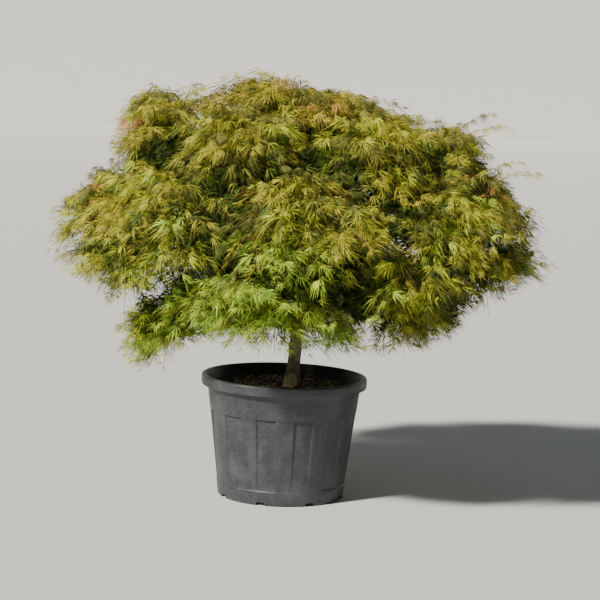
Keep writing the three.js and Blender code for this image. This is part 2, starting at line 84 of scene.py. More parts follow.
# Sockets of a node that mixes colours: its factor, the lower and the upper colour, and its result
MIX_FACTOR, MIX_LOWER, MIX_UPPER, MIX_RESULT = 0, 6, 7, 2
# Bark is flaked and pale from this height down, more and more over the fade
FLAKED_BELOW = 536 * MM
FLAKED_FADE = 90 * MM


def linear(hex_colour):
    """An sRGB hex colour as linear red, green and blue."""
    shares = [int(hex_colour[i:i + 2], 16) / 255 for i in (1, 3, 5)]
    return tuple(s / 12.92 if s <= 0.04045 else ((s + 0.055) / 1.055) ** 2.4 for s in shares)


def colour_property(name, description, hex_colour):
    return FloatVectorProperty(
        name=name, description=description, default=linear(hex_colour), subtype="COLOR", min=0, max=1)


def length_property(name, description, metres):
    return FloatProperty(name=name, description=description, default=metres, min=0, unit="LENGTH")


def rgba(colour, factor=1):
    """A colour, made darker or lighter by a factor, with its alpha."""
    return (*(part * factor for part in colour), 1)


def grains(millimetres, stretch):
    """The scale of a pattern from the size of its grains, stretched along the axes."""
    return [share / (millimetres * MM) for share in stretch]


def add_node(tree, kind, inputs=(), stops=(), **settings):
    """Adds a node with its own settings and a ramp's stops. An input gets a value, or a link from a socket
    or from a node's first output."""
    node = tree.nodes.new(f"ShaderNode{kind}")
    for name, value in settings.items():
        setattr(node, name, value)
    for name, value in dict(inputs).items():
        source = value.outputs[0] if isinstance(value, bpy.types.Node) else value
        if isinstance(source, bpy.types.NodeSocket):
            tree.links.new(source, node.inputs[name])
        else:
            node.inputs[name].default_value = source
    for i, (position, colour) in enumerate(dict(stops).items()):
        elements = node.color_ramp.elements
        if i == 0:
            elements.remove(elements[1])
        stop = elements.new(position) if i else elements[0]
        stop.position, stop.color = position, colour
    return node


def new_material(name):
    """An empty material, its node tree and the object's own coordinates."""
    material = bpy.data.materials.new(name)
    material.use_nodes = True
    tree = material.node_tree
    tree.nodes.clear()
    return material, tree, add_node(tree, "TexCoord").outputs["Object"]


def surface(material, inputs):
    """The material, with a Principled shader of these inputs joined to its output."""
    shader = add_node(material.node_tree, "BsdfPrincipled", inputs)
    add_node(material.node_tree, "OutputMaterial", {"Surface": shader}, is_active_output=True)
    return material


def moulded_polyethylene(colours):
    """Black polyethylene, injection moulded and left matt: it greys where sun and dust have dulled it,
    keeps a soft broad highlight, and carries faint level marks from the mould and the lathe that cut it."""
    material, tree, place = new_material("moulded_polyethylene")
    dust = add_node(
        tree, "TexNoise", {"Vector": place, "Scale": 1 / (90 * MM), "Detail": 6, "Roughness": 0.55})
    # Rain draws the dust down the wall in streaks
    tall = add_node(tree, "Mapping", {"Vector": place, "Scale": grains(30, (1.6, 1.6, 0.16))})
    streaks = add_node(tree, "TexNoise", {"Vector": tall, "Scale": 1, "Detail": 5, "Roughness": 0.6})
    # Scuffs and dried splashes are 5 to 20 mm across, wider than they are high
    wide = add_node(tree, "Mapping", {"Vector": place, "Scale": grains(18, (0.8, 0.8, 2.0))})
    scuffs = add_node(tree, "TexNoise", {"Vector": wide, "Scale": 1, "Detail": 7, "Roughness": 0.72})
    layers = (
        (dust, {0.42: BLACK, 0.72: WHITE}, colours.pot_dust),
        (streaks, {0.45: BLACK, 0.8: GREY}, colours.pot_dust),
        (scuffs, {0.52: BLACK, 0.74: GREY}, colours.pot_scuff),
    )
    colour = rgba(colours.pot)
    for pattern, stops, layer in layers:
        cover = add_node(tree, "ValToRGB", {"Fac": pattern}, stops)
        inputs = {MIX_FACTOR: cover, MIX_LOWER: colour, MIX_UPPER: rgba(layer)}
        colour = add_node(tree, "Mix", inputs, data_type="RGBA").outputs[MIX_RESULT]
    gloss = add_node(
        tree, "MapRange", {"Value": dust, "From Min": 0.35, "From Max": 0.7, "To Min": 0.42, "To Max": 0.62})
    # Mould marks lie level round the pot, about 2 mm apart, and the grain is drawn at 3 mm to show at all
    flat = add_node(tree, "Mapping", {"Vector": place, "Scale": grains(2, (0.02, 0.02, 1.0))})
    marks = add_node(tree, "TexNoise", {"Vector": flat, "Scale": 1, "Detail": 2, "Roughness": 0.5})
    grain = add_node(
        tree, "TexNoise", {"Vector": place, "Scale": 1 / (3 * MM), "Detail": 3, "Roughness": 0.55})
    marked = add_node(tree, "Bump", {"Height": marks, "Distance": 0.5 * MM, "Strength": 0.5})
    grained = add_node(
        tree, "Bump", {"Height": grain, "Distance": 0.4 * MM, "Strength": 0.35, "Normal": marked})
    return surface(material, {"Base Color": colour, "Roughness": gloss, "IOR": 1.51, "Normal": grained})


def bark_compost(colours):
    """Composted bark and peat, spread loose: nearly black while damp, quite without gloss, crumbly."""
    material, tree, place = new_material("bark_compost")
    crumbs = add_node(
        tree, "TexNoise", {"Vector": place, "Scale": 1 / (12 * MM), "Detail": 6, "Roughness": 0.65})
    damp, dry = rgba(colours.compost, 0.45), rgba(colours.compost, 2.6)
    colour = add_node(tree, "ValToRGB", {"Fac": crumbs}, {0.3: damp, 0.55: rgba(colours.compost), 0.8: dry})
    bump = add_node(tree, "Bump", {"Height": crumbs, "Distance": 4 * MM, "Strength": 0.8})
    return surface(
        material, {"Base Color": colour, "Roughness": 0.95, "Specular IOR Level": 0.25, "Normal": bump})


def chipped_bark(colours):
    """Milled pine bark: flat brown chips, a little paler where they broke."""
    material, tree, place = new_material("chipped_bark")
    flakes = add_node(
        tree, "TexNoise", {"Vector": place, "Scale": 1 / (20 * MM), "Detail": 4, "Roughness": 0.55})
    stops = {0.35: rgba(colours.compost), 0.55: rgba(colours.chip), 0.78: rgba(colours.chip, 1.7)}
    colour = add_node(tree, "ValToRGB", {"Fac": flakes}, stops)
    bump = add_node(tree, "Bump", {"Height": flakes, "Distance": 1 * MM, "Strength": 0.6})
    return surface(material, {"Base Color": colour, "Roughness": 0.85, "Normal": bump})


def expanded_perlite(colours):
    """Perlite, popped by heat: chalky off-white crumbs full of pores."""
    material, tree, place = new_material("expanded_perlite")
    # The pores are finer in life and are drawn at 2 mm, because finer ones don't show
    pores = add_node(
        tree, "TexNoise", {"Vector": place, "Scale": 1 / (2 * MM), "Detail": 3, "Roughness": 0.55})
    colour = add_node(
        tree, "ValToRGB", {"Fac": pores}, {0.3: rgba(colours.perlite, 0.6), 0.6: rgba(colours.perlite)})
    return surface(material, {"Base Color": colour, "Roughness": 0.9})


def smooth_maple_bark(colours):
    """Young maple bark, grown smooth: grey-brown with an olive cast, fine cracks along the limb,
    and pale flaked patches low down where the collar has weathered."""
    material, tree, place = new_material("smooth_maple_bark")
    cloud = add_node(
        tree, "TexNoise", {"Vector": place, "Scale": 1 / (50 * MM), "Detail": 6, "Roughness": 0.6})
    long = add_node(tree, "Mapping", {"Vector": place, "Scale": grains(8, (1, 1, 0.22))})
    cracks = add_node(tree, "TexNoise", {"Vector": long, "Scale": 1, "Detail": 5, "Roughness": 0.6})
    tall = add_node(tree, "Mapping", {"Vector": place, "Scale": grains(30, (1, 1, 0.5))})
    flakes = add_node(tree, "TexNoise", {"Vector": tall, "Scale": 1, "Detail": 5, "Roughness": 0.5})
    height = add_node(tree, "SeparateXYZ", {"Vector": place}).outputs["Z"]
    low = add_node(tree, "MapRange", {
        "Value": height, "From Min": FLAKED_BELOW, "From Max": FLAKED_BELOW - FLAKED_FADE, "To Min": 0.0,
        "To Max": 0.34})
    flaked = add_node(tree, "Math", {0: low, 1: flakes}, operation="ADD")
    tones = {0.32: rgba(colours.bark_dark), 0.5: rgba(colours.bark), 0.72: rgba(colours.bark_pale)}
    colour = add_node(tree, "ValToRGB", {"Fac": cloud}, tones)
    layers = (
        (cracks, {0.32: WHITE, 0.46: BLACK}, colours.bark_dark),
        (flaked, {0.72: BLACK, 0.78: WHITE}, colours.bark_flake),
    )
    for pattern, stops, layer in layers:
        cover = add_node(tree, "ValToRGB", {"Fac": pattern}, stops)
        inputs = {MIX_FACTOR: cover, MIX_LOWER: colour, MIX_UPPER: rgba(layer)}
        colour = add_node(tree, "Mix", inputs, data_type="RGBA").outputs[MIX_RESULT]
    uneven = add_node(tree, "Bump", {"Height": cloud, "Distance": 4 * MM, "Strength": 0.5})
    cracked = add_node(
        tree, "Bump", {"Height": cracks, "Distance": 2 * MM, "Strength": 0.8, "Normal": uneven})
    return surface(material, {"Base Color": colour, "Roughness": 0.78, "IOR": 1.45, "Normal": cracked})


def young_twig_bark(colours):
    """This year's and last year's wood: thin and smooth, brown-red over green, with a slight wax gloss."""
    material, tree, place = new_material("young_twig_bark")
    age = add_node(
        tree, "TexNoise", {"Vector": place, "Scale": 1 / (60 * MM), "Detail": 3, "Roughness": 0.55})
    colour = add_node(
        tree, "ValToRGB", {"Fac": age}, {0.4: rgba(colours.twig), 0.65: rgba(colours.twig_green)})
    pores = add_node(
        tree, "TexNoise", {"Vector": place, "Scale": 1 / (10 * MM), "Detail": 3, "Roughness": 0.55})
    bump = add_node(tree, "Bump", {"Height": pores, "Distance": 0.6 * MM, "Strength": 0.5})
    return surface(material, {"Base Color": colour, "Roughness": 0.6, "IOR": 1.45, "Normal": bump})


def cut_leaf_blade(tint, colour):
    """A laceleaf blade: thin, soft, finely cut, with a faint wax gloss. Its colour is plain, because
    the colours differ from spray to spray, and the veins only ripple the surface."""
    material, tree, place = new_material(f"cut_leaf_blade_{tint}")
    # Veins run 2 mm apart in life and are drawn at 6 mm, because finer ones don't show
    veins = add_node(
        tree, "TexNoise", {"Vector": place, "Scale": 1 / (6 * MM), "Detail": 2, "Roughness": 0.55})
    bump = add_node(tree, "Bump", {"Height": veins, "Distance": 1 * MM, "Strength": 0.5})
    return surface(material, {
        "Base Color": rgba(colour), "Roughness": 0.6, "IOR": 1.42, "Specular IOR Level": 0.3, "Normal": bump})


def pale_floor_paint(colours):
    """A painted studio floor: pale, even and matt, rolled on, so that it has only a slight orange peel."""
    material, tree, place = new_material("pale_floor_paint")
    peel = add_node(
        tree, "TexNoise", {"Vector": place, "Scale": 1 / (10 * MM), "Detail": 2, "Roughness": 0.55})
    bump = add_node(tree, "Bump", {"Height": peel, "Distance": 0.3 * MM, "Strength": 0.2})
    return surface(material, {"Base Color": rgba(colours.floor), "Roughness": 0.85, "Normal": bump})


# Meshes


def add_object(name, data):
    made = bpy.data.objects.new(name, data)
    bpy.context.scene.collection.objects.link(made)
    return made


def add_mesh(name, points, faces, material, slot, smooth=True, stands_for=()):
    """A piece of the plant or its pot. It rides on the one body, takes the finish that it is given, and may
    stand for nodes of the frame. Its slot is not used."""
    piece = add_object(name, mesh_of(name, points, faces, smooth))
    piece.data.materials.append(material)
    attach(piece, BODY)
    if stands_for:
        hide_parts(*stands_for)
    return piece


def mesh_of(name, points, faces, smooth=True):
    """A mesh from arrays of points and of faces that all have the same number of corners."""
    mesh = bpy.data.meshes.new(name)
    faces = np.ascontiguousarray(faces, np.int32)
    mesh.vertices.add(len(points))
    mesh.vertices.foreach_set("co", np.ascontiguousarray(points, np.float32).ravel())
    mesh.loops.add(faces.size)
    mesh.loops.foreach_set("vertex_index", faces.ravel())
    mesh.polygons.add(len(faces))
    mesh.polygons.foreach_set("loop_start", np.arange(len(faces), dtype=np.int32) * faces.shape[1])
    mesh.polygons.foreach_set("use_smooth", np.full(len(faces), smooth))
    mesh.update(calc_edges=True)
    return mesh


def join(parts):
    """Several (points, faces) as one."""
    counts = np.cumsum([0] + [len(points) for points, _ in parts[:-1]])
    return (np.concatenate([points for points, _ in parts]),
            np.concatenate([faces + start for (_, faces), start in zip(parts, counts)]))


def closed_body(grid, first, last):
    """A body from rows of points that go round it, and the points that close it before the first row and
    after the last one."""
    rows, columns = grid.shape[:2]
    row, column = np.meshgrid(np.arange(rows - 1), np.arange(columns), indexing="ij")
    a = (row * columns + column).ravel()
    b = (row * columns + (column + 1) % columns).ravel()
    c, d = b + columns, a + columns
    turn = np.arange(columns)
    after = (turn + 1) % columns
    count = rows * columns
    end = count - columns
    corners = (
        (a, b, c), (a, c, d), (np.full(columns, count), after, turn),
        (np.full(columns, count + 1), end + turn, end + after))
    points = np.concatenate([grid.reshape(-1, 3), [first, last]])
    return points, np.concatenate([np.stack(three, 1) for three in corners])


def rounds(radius, angle, height):
    """Points at these radii, angles and heights."""
    return np.stack(np.broadcast_arrays(radius * np.cos(angle), radius * np.sin(angle), height), -1)


def unit(vector):
    return vector / max(np.linalg.norm(vector), 1e-9)


def units(vectors):
    return vectors / np.maximum(np.linalg.norm(vectors, axis=-1, keepdims=True), 1e-9)


def tube(line, radii, sides, relief=None):
    """A closed tube round a line of points. relief(row shares, angles) scales its radius."""
    along = units(np.gradient(line, axis=0))
    side = np.array([1.0, 0, 0]) if abs(along[0][2]) > 0.8 else UP
    sides_at = []
    for heading in along:
        side = unit(side - heading * (side @ heading))
        sides_at.append(side)
    sides_at = np.array(sides_at)
    over = np.cross(sides_at, along)
    angle = np.linspace(0, 2 * math.pi, sides, endpoint=False)
    radius = np.repeat(radii[:, None], sides, 1)
    if relief:
        radius = radius * relief(np.linspace(0, 1, len(line))[:, None], angle[None, :])
    ring = (sides_at[:, None] * np.cos(angle)[None, :, None] + over[:, None] * np.sin(angle)[None, :, None])
    points, faces = closed_body(line[:, None] + ring * radius[..., None], line[0], line[-1])
    return points, faces[:, ::-1]


# The plant's rule: the same limbs and spaces as the frame's


def seeded(seed):
    """The same draws each time for the same seed, from 0 up to 1."""
    mask = 0xFFFFFFFF
    state = seed & mask

    def draw():
        nonlocal state
        state = (state + 0x6D2B79F5) & mask
        mixed = ((state ^ (state >> 15)) * (state | 1)) & mask
        mixed ^= (mixed + ((mixed ^ (mixed >> 7)) * (mixed | 61) & mask)) & mask
        return (mixed ^ (mixed >> 14)) / (mask + 1)

    return draw


def lerp(first, last, share):
    return first + (last - first) * share


def direction(azimuth, dip=0.0):
    turn, fall = math.radians(azimuth), math.radians(dip)
    return np.array([math.cos(turn) * math.cos(fall), math.sin(turn) * math.cos(fall), -math.sin(fall)])


def turned(vector, degrees):
    """A vector turned about the vertical."""
    cos, sin = math.cos(math.radians(degrees)), math.sin(math.radians(degrees))
    return np.array([vector[0] * cos - vector[1] * sin, vector[0] * sin + vector[1] * cos, vector[2]])


class Curve:
    """A cubic Bezier line."""

    def __init__(self, *corners):
        self.corners = np.array(corners, float)

    def at(self, share):
        share = np.asarray(share, float)[..., None]
        rest = 1 - share
        a, b, c, d = self.corners
        return a * rest ** 3 + 3 * b * rest ** 2 * share + 3 * c * rest * share ** 2 + d * share ** 3

    def heading(self, share):
        return unit(self.at(min(share + 1e-4, 1.0)) - self.at(max(share - 1e-4, 0.0)))


COMPOST_CROWN = 436 * MM
TRUNK_FOOT = np.array([22, -25, 428]) * MM
TRUNK_FORK = np.array([62, -8, 930]) * MM
TRUNK_RADII = (26 * MM, 21 * MM)
TRUNK_FLARE = 6 * MM
TRUNK_FLARE_SHARE = 0.07
TRUNK_BOW = 14 * MM
ROOT_RIDGES = 5
RIDGE_SHARE = 0.14
LEADER_RADII = (19 * MM, 9 * MM)
LEADER_BOW = np.array([0, 14, 0]) * MM
LEADER_TIP_HEIGHT = 1290
CLEARANCE = 0.3 * MM

CROWN_MIDDLE = np.array([40, 0, 0]) * MM
CROWN_STRETCH = np.array([1.13, 1.0])
SEED = 20
GAP_AZIMUTH = 233
GAP_WIDTH = 58
EIGHT_WAYS = ["right", "back_right", "back", "back_left", "left", "front_left", "front", "front_right"]
SIX_WAYS = ["right", "back_right", "back_left", "left", "front_left", "front_right"]
HEM_WAYS = {"right": 12, "back": 80, "back_left": 138, "left": 192, "front_right": 318}


def evenly(names):
    return {name: i * 360 / len(names) for i, name in enumerate(names)}


def round_gap(names):
    """Azimuths from one edge of the front left gap round to the other."""
    spacing = (360 - GAP_WIDTH) / (len(names) - 1)
    from_front = {name: (i - names.index("front")) % len(names) for i, name in enumerate(names)}
    return {name: GAP_AZIMUTH + GAP_WIDTH / 2 + from_front[name] * spacing for name in names}


# Distance out, height of the middle, half sizes (out, along, up) in millimetres, and dip outwards
TIERS = {
    "cap": ({"middle": 0}, 0, 1515, (430, 410, 215), 0),
    "top": (evenly(SIX_WAYS), 440, 1390, (330, 310, 215), 16),
    "shoulder": (evenly(EIGHT_WAYS), 600, 1170, (330, 300, 215), 22),
    "skirt": (round_gap(EIGHT_WAYS), 615, 915, (330, 290, 195), 26),
    "hem": (HEM_WAYS, 420, 735, (270, 250, 150), 22),
}
# The share of each tier's half sizes (out, along, up) that its leaves fill
FULLNESS = {
    "cap": (1.0, 1.0, 0.78),
    "top": (0.86, 1.0, 0.86),
    "shoulder": (1.0, 1.0, 0.92),
    "skirt": (0.97, 1.0, 0.96),
    "hem": (1.0, 1.0, 1.0),
}
# Added reach and height in millimetres, and a factor on the size
OWN_SHAPE = {
    "top_left": (15, 35, 1.05),
    "top_right": (25, -30, 1),
    "shoulder_left": (0, -30, 1),
    "shoulder_right": (-10, 30, 1),
    "skirt_right": (40, 0, 1),
    "skirt_front": (-110, -100, 1.1),
    "skirt_front_left": (20, 10, 0.95),
    "hem_left": (20, -120, 0.8),
    "hem_front_right": (0, 60, 0.95),
    "hem_right": (40, 40, 1),
}
# A group of boughs: its parent, the tiers that it carries, the radii at root and tip, how far out the tips
# stand, their height or else their rise over the middle of what they carry, and their sway, in
# millimetres. Then the lowest share of the parent where one leaves it, the step to the next share, and
# how many steps apart neighbours leave
Boughs = namedtuple("Boughs", "parent tiers root tip reach height rise sway lowest step stride")
BOUGHS = {
    "top": Boughs("leader", ("top",), 9.5, 5.5, 225, 1290, None, 26, 0.1, 0.09, 5),
    "main": Boughs("trunk", ("shoulder", "skirt"), 13, 7, 385, None, 10, 38, 0.66, 0.042, 3),
    "low": Boughs("trunk", ("hem",), 9, 5.5, 270, None, 40, 22, 0.42, 0.05, 2),
}
# A bough's line has inner corners at these shares of its run and its rise, and this much higher
BOUGH_RUN = (0.3, 0.68)
BOUGH_RISE = (0.42, 0.95)
BOUGH_LIFT = 20 * MM
# The least sway, as a share, and how much a draw adds
LEAST_SWAY, DRAWN_SWAY = 0.6, 0.4


def crown_point(azimuth, reach, height):
    """A point of the crown's oval plan, from millimetres."""
    out = direction(azimuth)
    x, y = CROWN_MIDDLE[:2] + out[:2] * reach * MM * CROWN_STRETCH
    return np.array([x, y, height * MM])


class Limb:
    """A tapering limb round a line, with its radius at any share of it."""

    def __init__(self, name, curve, root, tip):
        self.name = name
        self.curve = curve
        self.root = root
        self.tip = tip

    def radius(self, share):
        return lerp(self.root, self.tip, share)


class Trunk(Limb):
    """The trunk, which flares where it stands on the compost."""

    def __init__(self):
        rise = TRUNK_FORK - TRUNK_FOOT
        curve = Curve(
            TRUNK_FOOT,
            TRUNK_FOOT + rise * 0.33 + np.array([TRUNK_BOW, 0, 0]),
            TRUNK_FOOT + rise * 0.66 + np.array([-TRUNK_BOW, TRUNK_BOW, 0]),
            TRUNK_FORK)
        super().__init__("trunk", curve, *TRUNK_RADII)

    def flare(self, share):
        return np.exp(-share / TRUNK_FLARE_SHARE)

    def radius(self, share):
        return super().radius(share) + TRUNK_FLARE * self.flare(share)


def make_leader(trunk):
    start = trunk.curve.at(1) + UP * CLEARANCE
    tip = crown_point(0, 0, LEADER_TIP_HEIGHT)
    curve = Curve(start, lerp(start, tip, 0.33) + LEADER_BOW, lerp(start, tip, 0.66) - LEADER_BOW, tip)
    return Limb("leader", curve, *LEADER_RADII)


def make_bough(name, parent, share, tip, group, draw):
    """A bough leaves its parent, heads out and up in an arch with a slow double bend, and levels."""
    start = parent.curve.at(share)
    out = (tip - start) * LEVEL
    across = unit(np.array([-out[1], out[0], 0]))
    rise = tip[2] - start[2]
    sign = -1 if draw() < 0.5 else 1
    sway = group.sway * MM * sign * (LEAST_SWAY + DRAWN_SWAY * draw())
    first, second = (
        start + out * run + UP * (rise * up + BOUGH_LIFT) for run, up in zip(BOUGH_RUN, BOUGH_RISE))
    curve = Curve(start, first + across * sway, second - across * sway, tip)
    return Limb(name, curve, group.root * MM, group.tip * MM)


class Mass:
    """The space of one mass of foliage: an ellipsoid that dips outwards."""

    def __init__(self, tier, way):
        ways, reach, height, half, dip = TIERS[tier]
        added_reach, added_height, scale = OWN_SHAPE.get(f"{tier}_{way}", (0, 0, 1))
        self.name = f"foliage_{tier}_{way}"
        self.azimuth = ways[way]
        self.middle = crown_point(self.azimuth, reach + added_reach, height + added_height)
        self.half = np.array(half) * MM * scale * FULLNESS[tier]
        self.axes = np.array([
            direction(self.azimuth, dip), direction(self.azimuth + 90), direction(self.azimuth, dip - 90)])
        self.bough = None

    @property
    def stem(self):
        """The stem runs on from the bough's tip into the middle of the mass."""
        root = self.bough.curve.at(1)
        length = np.linalg.norm(self.middle - root)
        first = root + self.bough.curve.heading(1) * length * 0.33
        return Curve(root, first, lerp(first, self.middle, 0.5), self.middle)


def grow_boughs(name, parents, masses, draw):
    """A group of boughs, each with the masses that it carries hung on its tip."""
    group = BOUGHS[name]
    ways = list(TIERS[group.tiers[0]][0])
    boughs = []
    for i, way in enumerate(ways):
        carried = [masses[f"{tier}_{way}"] for tier in group.tiers]
        first, last = carried[0], carried[-1]
        azimuth = first.azimuth + ((last.azimuth - first.azimuth + 540) % 360 - 180) / 2
        height = group.height or (first.middle[2] + last.middle[2]) / 2 / MM + group.rise
        share = group.lowest + group.step * ((i * group.stride) % len(ways))
        tip = crown_point(azimuth, group.reach, height)
        bough = make_bough(f"bough_{name}_{way}", parents[group.parent], share, tip, group, draw)
        boughs.append(bough)
        for mass in carried:
            mass.bough = bough
    return boughs


def grow_limbs():
    """The trunk, the leader, the boughs and the masses that they carry, by the frame's rule."""
    draw = seeded(SEED)
    masses = {f"{tier}_{way}": Mass(tier, way) for tier, parts in TIERS.items() for way in parts[0]}
    trunk = Trunk()
    leader = make_leader(trunk)
    masses["cap_middle"].bough = leader
    parents = {"trunk": trunk, "leader": leader}
    top, main, low = (grow_boughs(name, parents, masses, draw) for name in BOUGHS)
    return [trunk, leader, *main, *top, *low], list(masses.values())


# Foliage: what grows on from the limbs


GOLDEN_ANGLE = math.degrees(math.pi * (3 - math.sqrt(5)))
# Tufts stand on rays from the crown's heart, the first almost straight up and the last well below level.
# Below 1, the sink puts more of the inner ones low in the crown
CROWN_HEART = np.array([0.04, 0.0, 1.05])
FIRST_RAY, LAST_RAY = 0.998, -0.85
INNER_SINK = 0.88
RAY_SCATTER = 0.06
# How deep outer and inner tufts stand, from the heart at 0 to the crown's edge at 1
OUTER_DEPTHS, INNER_DEPTHS = (0.78, 1.0), (0.25, 0.8)
# A tuft's length, where on its stem the branchlet leaves, and the rise of its arch as a share of its length
TUFT_LENGTHS = (0.1, 0.24)
BRANCHLET_ROOTS = (0.45, 1.0)
# How far into its step from ray to ray a tuft falls, how far its root is raised, and the factors on the
# number of sprays for a tuft straight above the crown's heart and for one level with it
TUFT_STRAY = (0.2, 0.8)
TUFT_LIFT = 10 * MM
SPRAYS_UPRIGHT, SPRAYS_LEVEL = 0.6, 1.3
ARCH = 0.2
# A tuft's sprays fan out this far to each side and stray by this much, in degrees
FAN, FAN_STRAY = 60, 18
LEAST_REACH = 0.09
# A spray's reach as a share of its tuft's, and how far under or over the tuft's tip it ends
SPRAY_REACHES, SPRAY_DROPS = (0.8, 1.25), (-0.04, 0.01)
SPRAY_MARGIN, LEAF_MARGIN = 0.04, 0.08
# Short sprays on a bough: how many, over which share of it, how far out they turn, their length and rise
BOUGH_SPRAYS = 12
BOUGH_SPRAY_ROOTS = (0.45, 0.98)
BOUGH_SPRAY_TURNS = (25, 80)
BOUGH_SPRAY_LENGTHS = (0.12, 0.2)
BOUGH_SPRAY_RISE = 0.07
# How far inner growth keeps back from the crown's edge, and the middle that it may fill
INNER_INSET = 0.06
INNER_MIDDLE = 0.6
# How far out the crown reaches at each height, before its plan is made oval
PROFILE_HEIGHT = (0.5, 0.9, 1.06, 1.2, 1.32, 1.42, 1.5, 1.56, 1.605, 1.645, 1.672)
PROFILE_REACH = (0.9, 0.97, 0.97, 0.84, 0.74, 0.7, 0.6, 0.46, 0.3, 0.13, -0.05)
PROFILE_OVAL = (1.0, 0.92)
# The x of the profile's middle at each height: the top of the crown leans left
PROFILE_MIDDLE = (0.04, 0.04, 0.04, 0.04, 0.04, 0.03, -0.05, -0.14, -0.13, -0.11, -0.11)
# How softly neighbouring masses blend, and how far out along a ray its end is looked for
BLEND = 2.5
RAY = np.arange(1.4, 0.15, -0.02)
# The height of the crown's hem at distances from its middle; the low tuft on the left hangs past it
HEM_REACH = (0.3, 0.6, 0.72, 0.85, 1.0)
HEM_HEIGHT = (0.565, 0.625, 0.7, 0.83, 0.89)
LOW_TUFT = "foliage_hem_left"
# Azimuth, distance out and height of the tips of shoots that stand out of the crown
SHOOTS = (
    (184, 0.92, 1.09), (196, 0.72, 1.42), (205, 0.62, 1.53), (212, 0.5, 1.57), (200, 0.42, 1.59),
    (190, 0.34, 1.61), (226, 0.36, 1.6), (250, 0.3, 1.62), (318, 0.66, 1.5), (332, 0.86, 1.36),
    (340, 0.92, 1.31), (348, 0.78, 1.48), (5, 0.72, 1.52), (352, 0.98, 0.95), (40, 0.8, 1.4),
    (75, 0.7, 1.42), (105, 0.88, 1.15), (140, 0.75, 1.42), (160, 0.9, 1.2), (120, 0.4, 1.6),
)
SHOOT_LENGTH, SHOOT_RISE = 0.34, 0.06
# Leaves sit on the outer part of a twig. A leaf inside the crown is larger, one on a shoot smaller, and
# there are fewer inside and more on a shoot
FIRST_LEAF = 0.22
INNER_LEAF_SCALE, SHOOT_LEAF_SCALE = 1.42, 0.75
INNER_LEAF_SHARE, SHOOT_LEAF_SHARE = 0.65, 2
# How a leaf stands, in degrees: off its twig, astray, down, down again at the twig's tip, and rolled
LEAF_TURNS, LEAF_STRAY = (15, 80), (-35, 35)
LEAF_FALLS, TIP_FALL = (-20, 30), 14
LEAF_ROLL = math.radians(44)
LEAF_LENGTHS = (0.6, 1.15)
STALK_LENGTHS, STALK_RISE, STALK_STRAY = (0.12, 0.45), 0.35, 0.25
STALK_WIDTH = 0.014
# A leaf that leaves the crown is tried shorter before it is skipped
LEAF_TRIES, LEAF_SHRINK = 3, 0.82
LEAF_KINDS, LEAF_SEED = 12, 700
# How the lobes of a kind differ in turn, in degrees, in length, lift, curl and width, and leaves in droop
LOBE_TURNS, LOBE_LENGTHS, LOBE_LIFTS = (-10, 10), (0.75, 1.12), (-0.26, 0.2)
LOBE_CURLS, LOBE_WIDTHS, OWN_DROOPS = (0.2, 0.85), (0.7, 1.25), (0.3, 1.7)
# Angle and length of each lobe; a leaf inside the crown has fewer, which are larger
LOBES = ((-62, 0.6), (-42, 0.82), (-20, 0.96), (0, 1.0), (20, 0.96), (42, 0.82), (62, 0.6))
INNER_LOBES = ((-60, 0.8), (-20, 1.0), (20, 1.0), (60, 0.8))
# Where a lobe is cut and where its teeth end, as shares of it, and half its width at each
NOTCH, TOOTH = 0.42, 0.58
OTHER_TOOTH = TOOTH - 0.04
NOTCH_WIDTH, TOOTH_WIDTH, INNER_TOOTH_WIDTH = 0.012, 0.031, 0.085
# The triangles of a lobe, from its foot, its two notches, its two teeth and its tip
LOBE_FACES = np.array([(0, 2, 1), (0, 1, 3), (0, 4, 2), (1, 2, 5)])
PIECE_LIMIT = 190000


class Spray:
    """A twig with its leaves, all of one tint."""

    def __init__(self, curve, outwards, is_inner=False):
        self.curve = curve
        self.outwards = outwards
        self.is_inner = is_inner
        self.leaves = []


class Crown:
    """The masses together, blended so that foliage also covers the narrow clefts between them."""

    def __init__(self, masses):
        self.masses = masses
        self.middles = np.array([mass.middle for mass in masses])
        self.axes = np.array([mass.axes for mass in masses])
        self.halves = np.array([mass.half for mass in masses])

    def depths(self, points):
        """Each point's depth in each mass: 0 at its middle and 1 at its edge."""
        away = np.atleast_2d(points)[:, None] - self.middles[None]
        return np.linalg.norm(np.einsum("nmi,mai->nma", away, self.axes) / self.halves, axis=-1)

    def blended(self, depths):
        return 1 - np.log(np.exp(-BLEND * (depths - 1)).sum(-1)) / BLEND

    def nearest(self, depths):
        return self.masses[depths.argmin()]

    def surface(self, way):
        """Where a ray from the crown's heart last leaves it, and the mass that is nearest there."""
        points = CROWN_HEART + np.outer(RAY, way)
        depths = self.depths(points)
        inside = np.nonzero((self.blended(depths) < 1) & self.in_profile(points, 0))[0]
        if not len(inside):
            return None, None
        return points[inside[0]], self.nearest(depths[inside[0]])

    def in_profile(self, points, margin):
        """True for points within the crown's reach at their height."""
        x, y, height = np.atleast_2d(points).T
        middle = np.interp(height, PROFILE_HEIGHT, PROFILE_MIDDLE)
        out = np.hypot((x - middle) / PROFILE_OVAL[0], y / PROFILE_OVAL[1])
        return out < np.interp(height, PROFILE_HEIGHT, PROFILE_REACH) + margin

    def holds(self, point, margin, is_inner=False):
        """True if a point is in the crown, and above the hem under which nothing hangs. What grows inside
        keeps back from the edge, and may also fill the middle of the crown, round the limbs."""
        depths = self.depths(point)[0]
        out = math.hypot(point[0] - CROWN_MIDDLE[0], point[1])
        low = np.interp(out, HEM_REACH, HEM_HEIGHT)
        if is_inner:
            margin = -INNER_INSET
            low += INNER_INSET
        in_middle = is_inner and out < INNER_MIDDLE and point[2] > low
        hangs = point[2] > low or self.nearest(depths).name == LOW_TUFT
        covered = in_middle or self.blended(depths) < 1 + margin
        return bool(hangs and covered and self.in_profile(point, margin / 2)[0])


